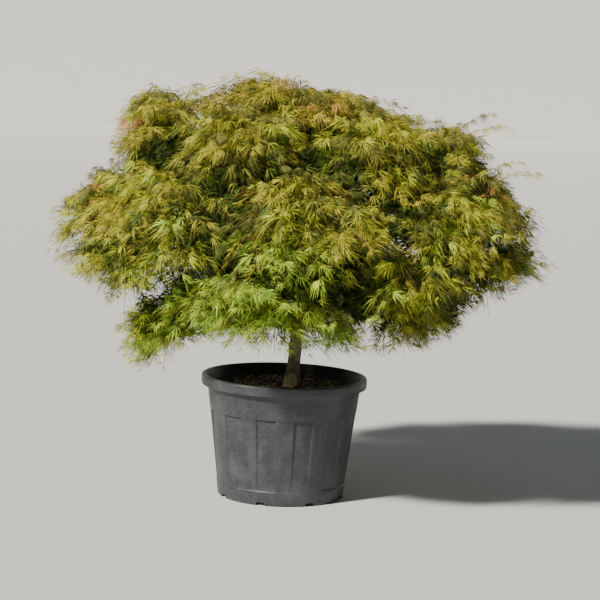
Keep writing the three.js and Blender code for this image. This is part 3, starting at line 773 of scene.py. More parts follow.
def arch(root, tip, first, second):
    """A line that rises on its way. Its inner corners are a share of the way and a height above it."""
    corners = [lerp(root, tip, share) + UP * height for share, height in (first, second)]
    return Curve(root, *corners, tip)


def grow_tufts(crown, sizes, rng):
    """Tufts all over the crown, and sparser ones spread evenly through its inside: each a branchlet from
    the stem of its mass with a fan of sprays that arch out and droop like a shingle."""
    branchlets = []
    sprays = []
    layers = [(sizes.tufts, OUTER_DEPTHS, False), (sizes.inner_tufts, INNER_DEPTHS, True)]
    for count, depths, is_inner in layers:
        for i in range(count):
            share = (i + rng.uniform(*TUFT_STRAY)) / count
            up = lerp(FIRST_RAY, LAST_RAY, share ** INNER_SINK if is_inner else share)
            turn = math.radians(i * GOLDEN_ANGLE) + rng.uniform(-RAY_SCATTER, RAY_SCATTER)
            level = math.sqrt(1 - up * up)
            edge, mass = crown.surface(np.array([math.cos(turn) * level, math.sin(turn) * level, up]))
            if edge is None:
                continue
            # A draw of the cube spreads tufts evenly through the space, not along the ray
            tip = lerp(CROWN_HEART, edge, rng.uniform(depths[0] ** 3, depths[1] ** 3) ** (1 / 3))
            back = mass.middle - tip
            length = min(np.linalg.norm(back), rng.uniform(*TUFT_LENGTHS))
            root = tip + unit(back) * length + UP * TUFT_LIFT
            branchlets.append(branchlet(mass.stem.at(rng.uniform(*BRANCHLET_ROOTS)), root))
            mean = sizes.sprays_per_tuft * lerp(SPRAYS_UPRIGHT, SPRAYS_LEVEL, level)
            number = max(1, round(mean + rng.uniform(-0.5, 0.5)))
            sprays += grow_fan(mass, root, tip, number, is_inner, crown, sizes, rng)
    return branchlets, sprays


def branchlet(start, root):
    """The line from a stem to the root of a tuft."""
    bend = lerp(start, root, 0.5) + UP * ARCH * np.linalg.norm(root - start)
    return Curve(start, lerp(start, bend, 0.7), lerp(bend, root, 0.3), root)


def grow_fan(mass, root, tip, number, is_inner, crown, sizes, rng):
    """The sprays of a tuft, from its root to round about its tip."""
    heading = outward_heading(tip, mass)
    sprays = []
    for k in range(number):
        yaw = lerp(-FAN, FAN, (k + 0.5) / number) + rng.uniform(-FAN_STRAY, FAN_STRAY)
        reach = (tip - root) * rng.uniform(*SPRAY_REACHES)
        level_reach = max(np.linalg.norm(reach[:2]), LEAST_REACH)
        end = root + turned(heading, yaw) * level_reach + UP * (reach[2] + rng.uniform(*SPRAY_DROPS))
        rise = ARCH * np.linalg.norm(end - root)
        spray = Spray(arch(root, end, (0.3, rise), (0.72, rise)), turned(heading, yaw), is_inner)
        if crown.holds(end, SPRAY_MARGIN, is_inner):
            grow_leaves(spray, crown, sizes, rng)
        if spray.leaves:
            sprays.append(spray)
    return sprays


def outward_heading(point, mass):
    """Level, away from the crown's middle and a little more from the mass's own."""
    from_crown = (point - CROWN_MIDDLE) * LEVEL
    from_mass = (point - mass.middle) * LEVEL
    return unit(from_crown + from_mass * 1.2)


def grow_shoots(crown, sizes, rng):
    """Long thin shoots that stand out of the crown here and there."""
    sprays = []
    for azimuth, reach, height in SHOOTS:
        tip = CROWN_MIDDLE + direction(azimuth) * reach + UP * height
        middle = crown.nearest(crown.depths(tip)[0]).middle
        root = lerp(tip, middle, min(1.0, SHOOT_LENGTH / np.linalg.norm(middle - tip)))
        curve = arch(root, tip, (0.35, SHOOT_RISE), (0.75, SHOOT_RISE * 0.6))
        spray = Spray(curve, unit((tip - root) * LEVEL))
        grow_leaves(spray, crown, sizes, rng, is_shoot=True)
        sprays.append(spray)
    return sprays


def grow_bough_sprays(boughs, crown, sizes, rng):
    """Short sprays that grow straight from the outer half of each bough."""
    sprays = []
    for bough in boughs:
        for share in np.linspace(*BOUGH_SPRAY_ROOTS, BOUGH_SPRAYS):
            root = bough.curve.at(share)
            turn = rng.choice([-1, 1]) * rng.uniform(*BOUGH_SPRAY_TURNS)
            heading = turned(unit(bough.curve.heading(share) * LEVEL), turn)
            reach = heading * rng.uniform(*BOUGH_SPRAY_LENGTHS)
            end = root + reach + UP * rng.uniform(0.0, BOUGH_SPRAY_RISE)
            spray = Spray(arch(root, end, (0.3, 0.02), (0.7, 0.03)), heading, is_inner=True)
            grow_leaves(spray, crown, sizes, rng)
            sprays.append(spray)
    return sprays


def grow_leaves(spray, crown, sizes, rng, is_shoot=False):
    """Pairs of leaves along the outer part of a twig, and one at its end, each hanging out and down.
    A leaf that would leave the crown's spaces is made shorter, and then skipped."""
    scale, density = 1, 1
    if spray.is_inner:
        scale, density = INNER_LEAF_SCALE, INNER_LEAF_SHARE
    elif is_shoot:
        scale, density = SHOOT_LEAF_SCALE, SHOOT_LEAF_SHARE
    count = round(sizes.leaves_per_spray * density)
    for i in range(count):
        last = i == count - 1
        share = 1.0 if last else lerp(FIRST_LEAF, 1.0, (i + 0.5) / count)
        side = 0 if last else (-1) ** i
        root = spray.curve.at(share)
        heading = turned(spray.outwards, side * rng.uniform(*LEAF_TURNS) + rng.uniform(*LEAF_STRAY))
        fall = math.radians(rng.uniform(*LEAF_FALLS) + TIP_FALL * share)
        along = heading * math.cos(fall) - UP * math.sin(fall)
        normal = unit(UP - along * along[2])
        across = np.cross(normal, along)
        roll = rng.normal(0, LEAF_ROLL)
        cos, sin = math.cos(roll), math.sin(roll)
        normal, across = normal * cos + across * sin, across * cos - normal * sin
        length = sizes.leaf_length * rng.uniform(*LEAF_LENGTHS) * scale
        stalk = unit(heading + UP * STALK_RISE + rng.normal(0, STALK_STRAY, 3))
        stalk = stalk * length * rng.uniform(*STALK_LENGTHS)
        for _ in range(LEAF_TRIES):
            tip = root + stalk + along * length - UP * sizes.leaf_droop * length
            if is_shoot or crown.holds(tip, LEAF_MARGIN, spray.is_inner):
                spray.leaves.append((root, stalk, along, across, normal, length))
                break
            length *= LEAF_SHRINK


def leaf_template(lobes, tooth_width, variant):
    """A leaf one unit long: its points (along, across, lift), how far out each lies, and its triangles."""
    rng = np.random.default_rng(LEAF_SEED + variant)
    points, reach, faces = [], [], []
    for angle, length in lobes:
        turn = math.radians(angle + rng.uniform(*LOBE_TURNS))
        length = length * rng.uniform(*LOBE_LENGTHS)
        lift = rng.uniform(*LOBE_LIFTS)
        curl = rng.uniform(*LOBE_CURLS)
        wide = tooth_width * rng.uniform(*LOBE_WIDTHS)
        faces.append(LOBE_FACES + len(points))
        outline = (
            (0.02, 0.0), (NOTCH, NOTCH_WIDTH), (NOTCH, -NOTCH_WIDTH), (TOOTH, wide), (OTHER_TOOTH, -wide),
            (1.0, 0.0))
        for out, aside in outline:
            bend = turn * (1 - curl * out)
            along = out * length * math.cos(bend) - aside * math.sin(bend)
            across = out * length * math.sin(bend) + aside * math.cos(bend)
            points.append((along, across, lift * out))
            reach.append(out * length)
    return np.array(points), np.array(reach), np.concatenate(faces)


def leaf_mesh(leaves, lobes, tooth_width, rng, droop):
    """Leaves with their stalks, as one array of points and one of triangles."""
    parts = []
    kinds = rng.integers(0, LEAF_KINDS, len(leaves))
    for kind in np.unique(kinds):
        shape, reach, faces = leaf_template(lobes, tooth_width, kind)
        chosen = [leaf for leaf, its_kind in zip(leaves, kinds) if its_kind == kind]
        root, stalk, along, across, normal, length = (np.array(values) for values in zip(*chosen))
        points = np.einsum("vi,nij->nvj", shape, np.stack([along, across, normal], 1))
        own_droop = droop * rng.uniform(*OWN_DROOPS, len(chosen))
        points[..., 2] -= own_droop[:, None] * reach[None] ** 2
        points = points * length[:, None, None] + (root + stalk)[:, None]
        count, size = points.shape[:2]
        faces = faces[None] + (np.arange(count) * size)[:, None, None]
        parts.append((points.reshape(-1, 3), faces.reshape(-1, 3)))
        aside = units(np.cross(stalk, normal)) * (length * STALK_WIDTH)[:, None]
        wedge = np.stack([root - aside, root + aside, root + stalk], 1)
        parts.append((wedge.reshape(-1, 3), np.arange(count * 3).reshape(-1, 3)))
    return join(parts)


# From the greenest to the most turned, and the darker tint that stands in for each among the same leaves
TURNING = ((0.2, "green"), (0.42, "bright"), (0.62, "lime"), (0.86, "gold"), (9.0, "amber"))
DARKER = {"green": "shade", "bright": "green", "lime": "olive", "gold": "olive", "amber": "gold"}
DARKER_SHARE = 0.34
# The slot of each tint
TINTS = {tint: "leaf_green" for tint in ("shade", "green", "bright", "lime")}
TINTS |= {tint: "leaf_golden" for tint in ("olive", "gold", "amber", "bronze")}
# How far sprays have turned low and high in the crown, and what the foot's young growth takes off, what
# the very top and a drift add, and how much chance spreads it
TURNED_LOW, TURNED_HIGH = 0.5, 0.66
TURNED_YOUNG, TURNED_TOPMOST, TURNED_DRIFT, TURNED_BY_CHANCE = 0.2, 0.12, 0.12, 0.11
# Sprays turned early, as (x, z) in metres seen from the front, and how far round each. They are in front
TURNED_SPOTS = (
    (-0.78, 1.19, 0.035), (-0.66, 1.42, 0.03), (-0.2, 1.64, 0.03), (-0.08, 1.38, 0.03), (-0.07, 0.74, 0.03))
IN_FRONT_OF = 0.1
# The heights where the high and the topmost sprays start, and over how much they come in
HIGH_FROM, HIGH_OVER = 0.75, 0.5
TOPMOST_FROM, TOPMOST_OVER = 1.46, 0.16
# Middle and half size, across and up, of the green growth at the front of the crown's foot. Fewer sprays
# there take a darker tint, which is painted sunlight
YOUNG_AND_SUNLIT_MIDDLE, YOUNG_AND_SUNLIT_HALF = (-0.1, 0.72), (0.48, 0.27)


def smooth_step(share):
    share = np.clip(share, 0, 1)
    return share * share * (3 - 2 * share)


def choose_tint(spray, rng):
    """Sprays high in the crown have turned further, in drifts. Those in front at its foot are still green,
    and fewer of them take a darker tint, as painted sunlight. Those inside it get no sun and take the darkest
    tint, which is painted shade for the crown's inside."""
    # The darkest tint on inner sprays is painted shade: it stands in for the shaded inside of the crown
    if spray.is_inner:
        return "shade"
    x, y, z = end = spray.curve.at(1)
    if y < IN_FRONT_OF and any(math.hypot(x - spot[0], z - spot[1]) < spot[2] for spot in TURNED_SPOTS):
        return "bronze"
    high = float(smooth_step((z - HIGH_FROM) / HIGH_OVER))
    topmost = float(smooth_step((z - TOPMOST_FROM) / TOPMOST_OVER))
    drift = math.sin(x * 9 + 1) * math.sin(y * 8 + 2) * math.sin(z * 11)
    aside = math.hypot(*((end[[0, 2]] - YOUNG_AND_SUNLIT_MIDDLE) / YOUNG_AND_SUNLIT_HALF))
    young_and_sunlit = float(smooth_step(2 * (1.2 - aside))) if y < 0 else 0.0
    turning = lerp(TURNED_LOW, TURNED_HIGH, high) - TURNED_YOUNG * young_and_sunlit + TURNED_TOPMOST * topmost
    turning = turning + TURNED_DRIFT * drift + rng.normal(0, TURNED_BY_CHANCE)
    tint = next(name for limit, name in TURNING if turning < limit)
    # Fewer darker sprays at the front of the foot is painted sunlight on that side of the crown
    return DARKER[tint] if rng.uniform() < DARKER_SHARE * (1 - young_and_sunlit / 2) else tint


# Pot and compost


STAVES = 12
# The share of a pair of staves, one raised and one sunk, that each edge between them takes
STAVE_EDGE = 0.05
FRONT_STAVE_AZIMUTH = 271
# The height over which a stave's recess starts and ends, and how far a flat stretch keeps from it
STAVE_STEP = 0.005
STAVE_FLAT = 0.02
DRAIN_COUNT = 8
DRAIN_AZIMUTH = 251.6
UNDERSIDE_INSET = 0.02
POT_FLOOR = 0.006
# Rounded edges of the wall, as steps inwards and along it in metres
FOOT_EDGE = ((0.003, 0.0), (0.001, 0.001), (0.0, 0.004))
COLLAR_FOOT = ((0.006, 0.0005), (0.002, 0.0015), (0.0005, 0.004), (0.0, 0.009))
COLLAR_TOP = ((0.0, 0.02), (0.0, 0.009), (0.0008, 0.005), (0.0025, 0.002), (0.0055, 0.0005))
LIP_EDGE = ((-0.004, 0.0), (-0.0015, 0.0008), (0.0, 0.003), (0.002, 0.008))
BOX_CORNERS = np.array([[x, y, z] for x in (-1, 1) for y in (-1, 1) for z in (-1, 1)], float)
BOX_SIDES = np.array([[0, 1, 3, 2], [4, 6, 7, 5], [0, 4, 5, 1], [2, 3, 7, 6], [0, 2, 6, 4], [1, 5, 7, 3]])
# The compost is flat round the trunk, falls over a ring, and turns down at the wall
COMPOST_FLAT, COMPOST_FALL, COMPOST_EDGE = 0.09, 0.18, 0.012
COMPOST_COLUMNS, COMPOST_RINGS = 180, 62
COMPOST_FOOT = 0.0063
COMPOST_FOOT_RADIUS = 0.231
# Crumbs keep this far from the trunk's middle and lie within this share of the compost's radius. Their own
# middles are above it by this share of their height, so that they are partly sunk in
TRUNK_ROOM = 0.06
WALL_SHARE = 0.97
CRUMB_LIFT = 0.2
CRUMB_SEED = 41
# The spread of a crumb's tilt, in radians, and of its corners, as shares of its half size
CRUMB_TILT, CRUMB_CORNERS = 0.3, (0.55, 1.1)
# Least and greatest length, width and height of a crumb
CHIP_SIZES = ((0.006, 0.024), (0.004, 0.011), (0.002, 0.005))
FLECK_SIZES = ((0.004, 0.009), (0.003, 0.007), (0.002, 0.005))


def pot_profile(pot):
    """(radius, height, share of the recess) from the middle of the underside round to the floor's, and the
    height where the staves end."""
    neck = pot.height - pot.rim_height
    panel_top = neck - pot.band_height
    collar = pot.rim_radius

    def wall(height):
        return lerp(pot.base_radius, pot.neck_radius, height / neck)

    def inner(height):
        return wall(height) - pot.recess_top - pot.wall

    rows = [(0.0, 0.0, 0.0), (pot.base_radius - UNDERSIDE_INSET, 0.0, 0.0)]
    rows += [(wall(height) - inset, height, 0.0) for inset, height in FOOT_EDGE]
    # Rows stand closest where the recess of a stave starts and ends
    heights = [
        *np.linspace(0.012, pot.base_band, 4),
        *(pot.base_band + np.linspace(0.001, STAVE_STEP, 4)),
        *np.linspace(pot.base_band + STAVE_FLAT, panel_top - STAVE_FLAT, 9),
        *(panel_top - np.linspace(STAVE_STEP, 0.0, 5)),
        *np.linspace(panel_top + 0.01, neck - 0.004, 4)]
    rows += [(wall(h), h, min(h - pot.base_band, panel_top - h) / STAVE_STEP) for h in heights]
    rows += [(pot.neck_radius + 0.001, neck - 0.001, 0.0)]
    rows += [(collar - inset, neck + height, 0.0) for inset, height in COLLAR_FOOT]
    for edge, steps in ((collar, COLLAR_TOP), (collar - pot.lip, LIP_EDGE)):
        rows += [(edge - inset, pot.height - fall, 0.0) for inset, fall in steps]
    rows += [(inner(neck), neck - 0.012, 0.0)]
    rows += [(inner(height), height, 0.0) for height in (neck - 0.06, 0.1, POT_FLOOR)]
    rows += [(0.0, POT_FLOOR, 0.0)]
    return np.array(rows), panel_top


def pot_mesh(pot):
    """The moulded wall with its raised and sunk staves, as one closed surface."""
    rows, panel_top = pot_profile(pot)
    edge = np.linspace(0, STAVE_EDGE, 5)
    flat = np.linspace(STAVE_EDGE, 0.5, 8)[1:-1]
    other = np.linspace(0.5 + STAVE_EDGE, 1, 8)[1:-1]
    shares = np.concatenate([edge, flat, 0.5 + edge, other])
    sunk = smooth_step(shares / STAVE_EDGE) - smooth_step((shares - 0.5) / STAVE_EDGE)
    sunk = np.tile(sunk, STAVES)
    around = (np.arange(STAVES)[:, None] + shares[None]).ravel()
    azimuth = np.radians(FRONT_STAVE_AZIMUTH + 360 / STAVES * (around + 0.25 - STAVE_EDGE / 2))
    radius, height, share = rows[1:-1].T[..., None]
    up = np.clip((height - pot.base_band) / (panel_top - pot.base_band), 0, 1)
    recess = lerp(pot.recess_base, pot.recess_top, up) * sunk + pot.set_back * (1 - sunk)
    wall = rounds(radius - smooth_step(share) * recess, azimuth, height)
    return closed_body(wall, [0, 0, 0], [0, 0, POT_FLOOR])


def cut_drains(piece, pot):
    """Slots through the foot of the wall."""
    size = [pot.drain_depth, pot.drain_width / 2, pot.drain_height]
    boxes = []
    for i in range(DRAIN_COUNT):
        turn = math.radians(DRAIN_AZIMUTH + 360 / DRAIN_COUNT * i)
        cos, sin = math.cos(turn), math.sin(turn)
        spin = np.array([[cos, sin, 0], [-sin, cos, 0], [0, 0, 1]])
        boxes.append(((BOX_CORNERS * size + [pot.base_radius, 0, 0]) @ spin, BOX_SIDES))
    cutter = add_object("drain_cutter", mesh_of("drain_cutter", *join(boxes), False))
    slots = piece.modifiers.new("drains", "BOOLEAN")
    slots.operation = "DIFFERENCE"
    slots.solver = "EXACT"
    slots.object = cutter
    graph = bpy.context.evaluated_depsgraph_get()
    cut = bpy.data.meshes.new_from_object(piece.evaluated_get(graph))
    piece.modifiers.clear()
    piece.data = cut
    bpy.data.objects.remove(cutter)


def compost_height(x, y, sizes):
    """The loose surface: a slight crown round the trunk, heaps about 110 mm apart, dips and crumbs."""
    crown = lerp(sizes.crown, sizes.level, np.clip((np.hypot(x, y) - COMPOST_FLAT) / COMPOST_FALL, 0, 1))
    heaps = 0.0022 * np.sin(x * 61 + 1.3) * np.sin(y * 53 + 0.4) + 0.0014 * np.sin(x * 137 + y * 91)
    crumbs = 0.0009 * np.sin(x * 410 + 2 * np.sin(y * 230)) * np.sin(y * 370 + 2 * np.sin(x * 250))
    return crown + heaps + crumbs


def compost_mesh(sizes):
    """A closed body: a rough top, and sides and underside that the pot hides."""
    angle = np.linspace(0, 2 * math.pi, COMPOST_COLUMNS, endpoint=False)
    # Rings stand closer together near the middle
    radius = sizes.radius * (np.linspace(1, 0.006, COMPOST_RINGS) ** 0.8)[:, None]
    height = compost_height(radius * np.cos(angle), radius * np.sin(angle), sizes)
    height[0] -= COMPOST_EDGE
    foot = rounds(COMPOST_FOOT_RADIUS, angle, COMPOST_FOOT)
    grid = np.concatenate([foot[None], rounds(radius, angle, height)])
    return closed_body(grid, [0, 0, COMPOST_FOOT], [0, 0, float(compost_height(0.0, 0.0, sizes))])


def scattered_crumbs(sizes, count, size_range, rng):
    """Rough eight-cornered flakes that lie on the compost, clear of the trunk."""
    parts = []
    while len(parts) < count:
        out, turn = sizes.radius * WALL_SHARE * math.sqrt(rng.uniform(0, 1)), rng.uniform(0, 2 * math.pi)
        x, y = out * math.cos(turn), out * math.sin(turn)
        if math.hypot(x - TRUNK_FOOT[0], y - TRUNK_FOOT[1]) < TRUNK_ROOM:
            continue
        size = np.array([rng.uniform(*limits) for limits in size_range])
        turned_by = Matrix.Rotation(rng.uniform(0, 6.3), 3, "Z")
        spin = np.array(turned_by @ Matrix.Rotation(rng.normal(0, CRUMB_TILT), 3, "X"))
        flake = BOX_CORNERS * size / 2 * rng.uniform(*CRUMB_CORNERS, (8, 3))
        height = float(compost_height(x, y, sizes)) + size[2] * CRUMB_LIFT
        parts.append((flake @ spin.T + [x, y, height], BOX_SIDES))
    return join(parts)


# Sizes and colours that a user would change


class MaplePotSizes(bpy.types.PropertyGroup):
    """Sizes of the pot"""
    height: length_property("Height", "Height of the pot", 0.475)
    rim_radius: length_property("Rim radius", "Outer radius of the collar", 0.325)
    rim_height: length_property("Rim height", "Height of the collar", 0.04)
    lip: length_property("Lip", "Width of the collar seen from above", 0.016)
    neck_radius: length_property("Neck radius", "Outer radius under the collar", 0.3)
    base_radius: length_property("Base radius", "Outer radius of the foot", 0.247)
    band_height: length_property("Band", "Height of the smooth band under the collar", 0.095)
    base_band: length_property("Foot band", "Height of the smooth band at the foot", 0.054)
    wall: length_property("Wall", "Thickness of the wall", 0.005)
    recess_top: length_property("Recess at the top", "Depth of a sunk stave at its top", 0.009)
    recess_base: length_property("Recess at the foot", "Depth of a sunk stave at its foot", 0.003)
    set_back: length_property("Stave", "How far a raised stave stands back from the bands", 0.002)
    drain_width: length_property("Drain width", "Width of a drain slot", 0.034)
    drain_height: length_property("Drain height", "Height of a drain slot", 0.013)
    drain_depth: length_property("Drain depth", "Depth of a drain slot", 0.014)


class MapleCompostSizes(bpy.types.PropertyGroup):
    """Sizes of the compost"""
    level: length_property("Level", "Height of the compost at the wall", 0.43)
    crown: length_property("Crown", "Height of the compost at the trunk", COMPOST_CROWN)
    radius: length_property("Radius", "Radius of the compost's surface", 0.281)
    chips: IntProperty(name="Chips", description="Bark chips that lie on top", default=900, min=0)
    flecks: IntProperty(name="Flecks", description="Pale crumbs that lie on top", default=420, min=0)


class MapleCrownSizes(bpy.types.PropertyGroup):
    """Sizes of the crown"""
    seed: IntProperty(name="Seed", description="Seed of the twigs and leaves", default=28)
    leaf_length: length_property("Leaf length", "Length of a leaf's middle lobe", 0.074)
    leaf_droop: FloatProperty(name="Droop", description="How far a leaf's tips hang", default=0.26, min=0)
    tufts: IntProperty(name="Tufts", description="Tufts in the crown's outer layer", default=1020, min=1)
    inner_tufts: IntProperty(name="Inner tufts", description="Tufts inside the crown", default=850, min=0)
    sprays_per_tuft: FloatProperty(name="Sprays", description="Sprays in a tuft", default=2.6, min=1)
    leaves_per_spray: IntProperty(name="Leaves", description="Leaves on a spray", default=10, min=1)
    stem_radius: length_property("Stem", "Radius of a mass's stem", 0.006)
    branchlet_radius: length_property("Branchlet", "Radius of a branchlet at its root", 0.0034)
    twig_radius: length_property("Twig", "Radius of a twig at its root", 0.0018)


class MapleColours(bpy.types.PropertyGroup):
    """Colours of the plant, its pot and the stage"""
    pot: colour_property("Pot", "Polyethylene", "#292b2f")
    pot_dust: colour_property("Pot dust", "Polyethylene dulled by sun and dust", "#43454a")
    pot_scuff: colour_property("Pot scuffs", "Scuffs and dried splashes", "#606266")
    compost: colour_property("Compost", "Damp compost", "#453b30")
    chip: colour_property("Chips", "Bark chips", "#8e7d66")
    perlite: colour_property("Flecks", "Perlite", "#e6e2d8")
    bark: colour_property("Bark", "Maple bark", "#7d745c")
    bark_dark: colour_property("Dark bark", "Cracks and damp bark", "#4b4435")
    bark_pale: colour_property("Pale bark", "Dry bark", "#9a917a")
    bark_flake: colour_property("Flaked bark", "Pale patches at the foot", "#e2cfa8")
    twig: colour_property("Twigs", "Young bark", "#6b4a30")
    twig_green: colour_property("Green twigs", "This year's wood", "#76703a")
    # The inner leaves' colour is painted shade for the inside of the crown; the same tint is also the darker
    # stand-in for full green leaves
    leaf_shade: colour_property("Inner leaves", "Leaves that get little sun", "#42521a")
    leaf_green: colour_property("Green leaves", "Full green leaves", "#74942e")
    leaf_bright: colour_property("Bright leaves", "Young green leaves", "#b4cf48")
    leaf_lime: colour_property("Lime leaves", "Yellow-green leaves", "#a9af36")
    leaf_olive: colour_property("Olive leaves", "Leaves that begin to turn", "#6a6b2a")
    leaf_gold: colour_property("Gold leaves", "Turned leaves", "#a8a137")
    leaf_amber: colour_property("Amber leaves", "Late leaves", "#ad863e")
    leaf_bronze: colour_property("Bronze leaves", "Sprays turned early", "#bd8350")
    floor: colour_property("Floor", "Studio floor", "#c8c7c4")


class MapleStageSizes(bpy.types.PropertyGroup):
    """Camera and light"""
    lens: FloatProperty(name="Lens", description="Focal length on a 36 mm sensor", default=119.3, min=1)
    key_power: FloatProperty(name="Key", description="Strength of the key light", default=8.1, min=0)
    fill: FloatProperty(name="Fill", description="Strength of the light from all round", default=0.16, min=0)


# Operators


# Faces that meet at more than this angle keep a sharp edge
SHARP_ANGLE = math.radians(38)
# The radius of a twig's tip, as a share of its root's
TWIG_TAPER = 0.45
TRUNK_SIDES, TRUNK_STEPS = 48, 90


class MAPLE_OT_pot(bpy.types.Operator):
    """Build the ribbed nursery pot"""
    bl_idname = "maple.pot"
    bl_label = "Pot"

    def execute(self, context):
        pot, plastic = context.scene.maple_pot, moulded_polyethylene(context.scene.maple_colours)
        piece = add_mesh("nursery_pot", *pot_mesh(pot), plastic, "pot", smooth=False, stands_for=["pot"])
        cut_drains(piece, pot)
        piece.data.shade_smooth()
        piece.data.set_sharp_from_angle(angle=SHARP_ANGLE)
        return {"FINISHED"}


class MAPLE_OT_compost(bpy.types.Operator):
    """Build the compost with its bark chips and pale flecks"""
    bl_idname = "maple.compost"
    bl_label = "Compost"

    def execute(self, context):
        sizes, colours = context.scene.maple_compost, context.scene.maple_colours
        rng = np.random.default_rng(CRUMB_SEED)
        add_mesh(
            "compost_body", *compost_mesh(sizes), bark_compost(colours), "compost", stands_for=["compost"])
        for name, count, size_range, finish in (
                ("bark_chips", sizes.chips, CHIP_SIZES, chipped_bark),
                ("perlite_flecks", sizes.flecks, FLECK_SIZES, expanded_perlite)):
            crumbs = scattered_crumbs(sizes, count, size_range, rng)
            add_mesh(name, *crumbs, finish(colours), "compost", smooth=False)
        return {"FINISHED"}


class MAPLE_OT_limbs(bpy.types.Operator):
    """Build the trunk, the leader and the boughs with the bark's relief"""
    bl_idname = "maple.limbs"
    bl_label = "Trunk and boughs"

    def execute(self, context):
        trunk, leader, *boughs = grow_limbs()[0]
        bark = smooth_maple_bark(context.scene.maple_colours)
        names = [bough.name for bough in boughs]
        wood = join([limb_mesh(bough, sides=12, steps=32) for bough in boughs])
        add_mesh("trunk_wood", *trunk_mesh(trunk), bark, "bark", stands_for=["trunk"])
        add_mesh("leader_wood", *limb_mesh(leader, sides=16, steps=40), bark, "bark", stands_for=["leader"])
        add_mesh("bough_wood", *wood, bark, "bark", stands_for=names)
        return {"FINISHED"}


def limb_mesh(limb, sides, steps):
    """A limb with its nodes' swellings and the bark's long low ripples."""
    share = np.linspace(0, 1, steps)
    phase = sum(map(ord, limb.name))

    def relief(row, angle):
        swelling = 0.035 * np.maximum(0, np.sin(row * 34 + phase)) ** 6
        ripple = 0.03 * np.sin(3 * angle + row * 9 + phase) + 0.02 * np.sin(7 * angle - row * 31)
        return 1 + swelling + ripple

    return tube(limb.curve.at(share), limb.radius(share), sides, relief)


def trunk_mesh(trunk):
    """The trunk with its root ridges, long ripples and small knots. Its foot is cut flat on the compost."""
    share = np.linspace(0, 1, TRUNK_STEPS)

    def relief(row, angle):
        ridges = RIDGE_SHARE * trunk.flare(row) * np.cos(ROOT_RIDGES * angle)
        ripple = 0.03 * np.sin(3 * angle + row * 5) + 0.018 * np.sin(8 * angle + 2.2 * np.sin(row * 21))
        knots = 0.05 * np.maximum(0, np.sin(row * 25 + 2 * angle)) ** 14
        grain = 0.006 * np.sin(19 * angle + 3 * np.sin(row * 47)) * np.sin(row * 83)
        return 1 + ridges + ripple + knots + grain

    points, faces = tube(trunk.curve.at(share), trunk.radius(share), TRUNK_SIDES, relief)
    points[:, 2] = np.maximum(points[:, 2], TRUNK_FOOT[2])
    return points, faces


class MAPLE_OT_foliage(bpy.types.Operator):
    """Grow the stems, twigs and leaves of every mass"""
    bl_idname = "maple.foliage"
    bl_label = "Twigs and leaves"

    def execute(self, context):
        sizes, colours = context.scene.maple_crown, context.scene.maple_colours
        limbs, masses = grow_limbs()
        rng = np.random.default_rng(sizes.seed)
        crown = Crown(masses)
        branchlets, sprays = grow_tufts(crown, sizes, rng)
        sprays += grow_bough_sprays(limbs[2:], crown, sizes, rng)
        sprays += grow_shoots(crown, sizes, rng)
        wood = join(twig_tubes(masses, branchlets, sprays, sizes))
        names = [mass.name for mass in masses]
        add_mesh("twigs", *wood, young_twig_bark(colours), "bark", stands_for=names)
        tints = [choose_tint(spray, rng) for spray in sprays]
        for tint in TINTS:
            chosen = [spray for spray, its_tint in zip(sprays, tints) if its_tint == tint]
            add_leaves(tint, chosen, sizes, colours, rng)
        return {"FINISHED"}


def twig_tubes(masses, branchlets, sprays, sizes):
    """A thin tube for each stem, branchlet and twig, which tapers to its tip."""
    # Each has its line, its root's radius, its sides and its steps
    wood = [(mass.stem, sizes.stem_radius, 5, 9) for mass in masses]
    wood += [(curve, sizes.branchlet_radius, 3, 4) for curve in branchlets]
    wood += [(spray.curve, sizes.twig_radius, 3, 2 if spray.is_inner else 3) for spray in sprays]
    return [
        tube(curve.at(np.linspace(0, 1, steps)), np.linspace(radius, radius * TWIG_TAPER, steps), sides)
        for curve, radius, sides, steps in wood]


def add_leaves(tint, sprays, sizes, colours, rng):
    """All leaves of a tint, in as many pieces as keep each one under the limit of triangles."""
    outer = [leaf for spray in sprays if not spray.is_inner for leaf in spray.leaves]
    inner = [leaf for spray in sprays if spray.is_inner for leaf in spray.leaves]
    kinds = ((outer, LOBES, TOOTH_WIDTH), (inner, INNER_LOBES, INNER_TOOTH_WIDTH))
    parts = [leaf_mesh(*kind, rng, sizes.leaf_droop) for kind in kinds if kind[0]]
    if not parts:
        raise RuntimeError(f"No spray has the tint {tint}")
    points, faces = join(parts)
    blade = cut_leaf_blade(tint, getattr(colours, f"leaf_{tint}"))
    for i, chosen in enumerate(np.array_split(faces, math.ceil(len(faces) / PIECE_LIMIT))):
        used, renumbered = np.unique(chosen, return_inverse=True)
        add_mesh(f"leaves_{tint}_{i + 1}", points[used], renumbered.reshape(-1, 3), blade, TINTS[tint])


# The stage's floor reaches this far to each side and to the front, and a plain wall stands behind
FLOOR_REACH = 60.0
WALL_AWAY, WALL_HEIGHT = 40.0, 16.0
# A clear sky, and a sun from the upper left in front. It is 5 degrees wide, for slightly soft shadows
SKY_COLOUR = (0.8, 0.9, 1.0)
SUN_COLOUR = (1.0, 0.96, 0.88)
SUN_HEADING = (0.56, 0.48, -0.58)
SUN_WIDTH = 5
# Where the camera stands, and how far it looks down, turns right and rolls, in degrees
CAMERA_PLACE = (-0.131, -7.72, 1.703)
CAMERA_TURNS = (6.87, 1.34, 2.22)
SENSOR_WIDTH = 36.0


class MAPLE_OT_stage(bpy.types.Operator):
    """Set up the floor, the wall, the light and the camera"""
    bl_idname = "maple.stage"
    bl_label = "Stage"

    def execute(self, context):
        stage = context.scene.maple_stage
        add_floor(context.scene.maple_colours)
        add_sky(stage.fill)
        add_sun(stage.key_power)
        add_camera(stage.lens)
        return {"FINISHED"}


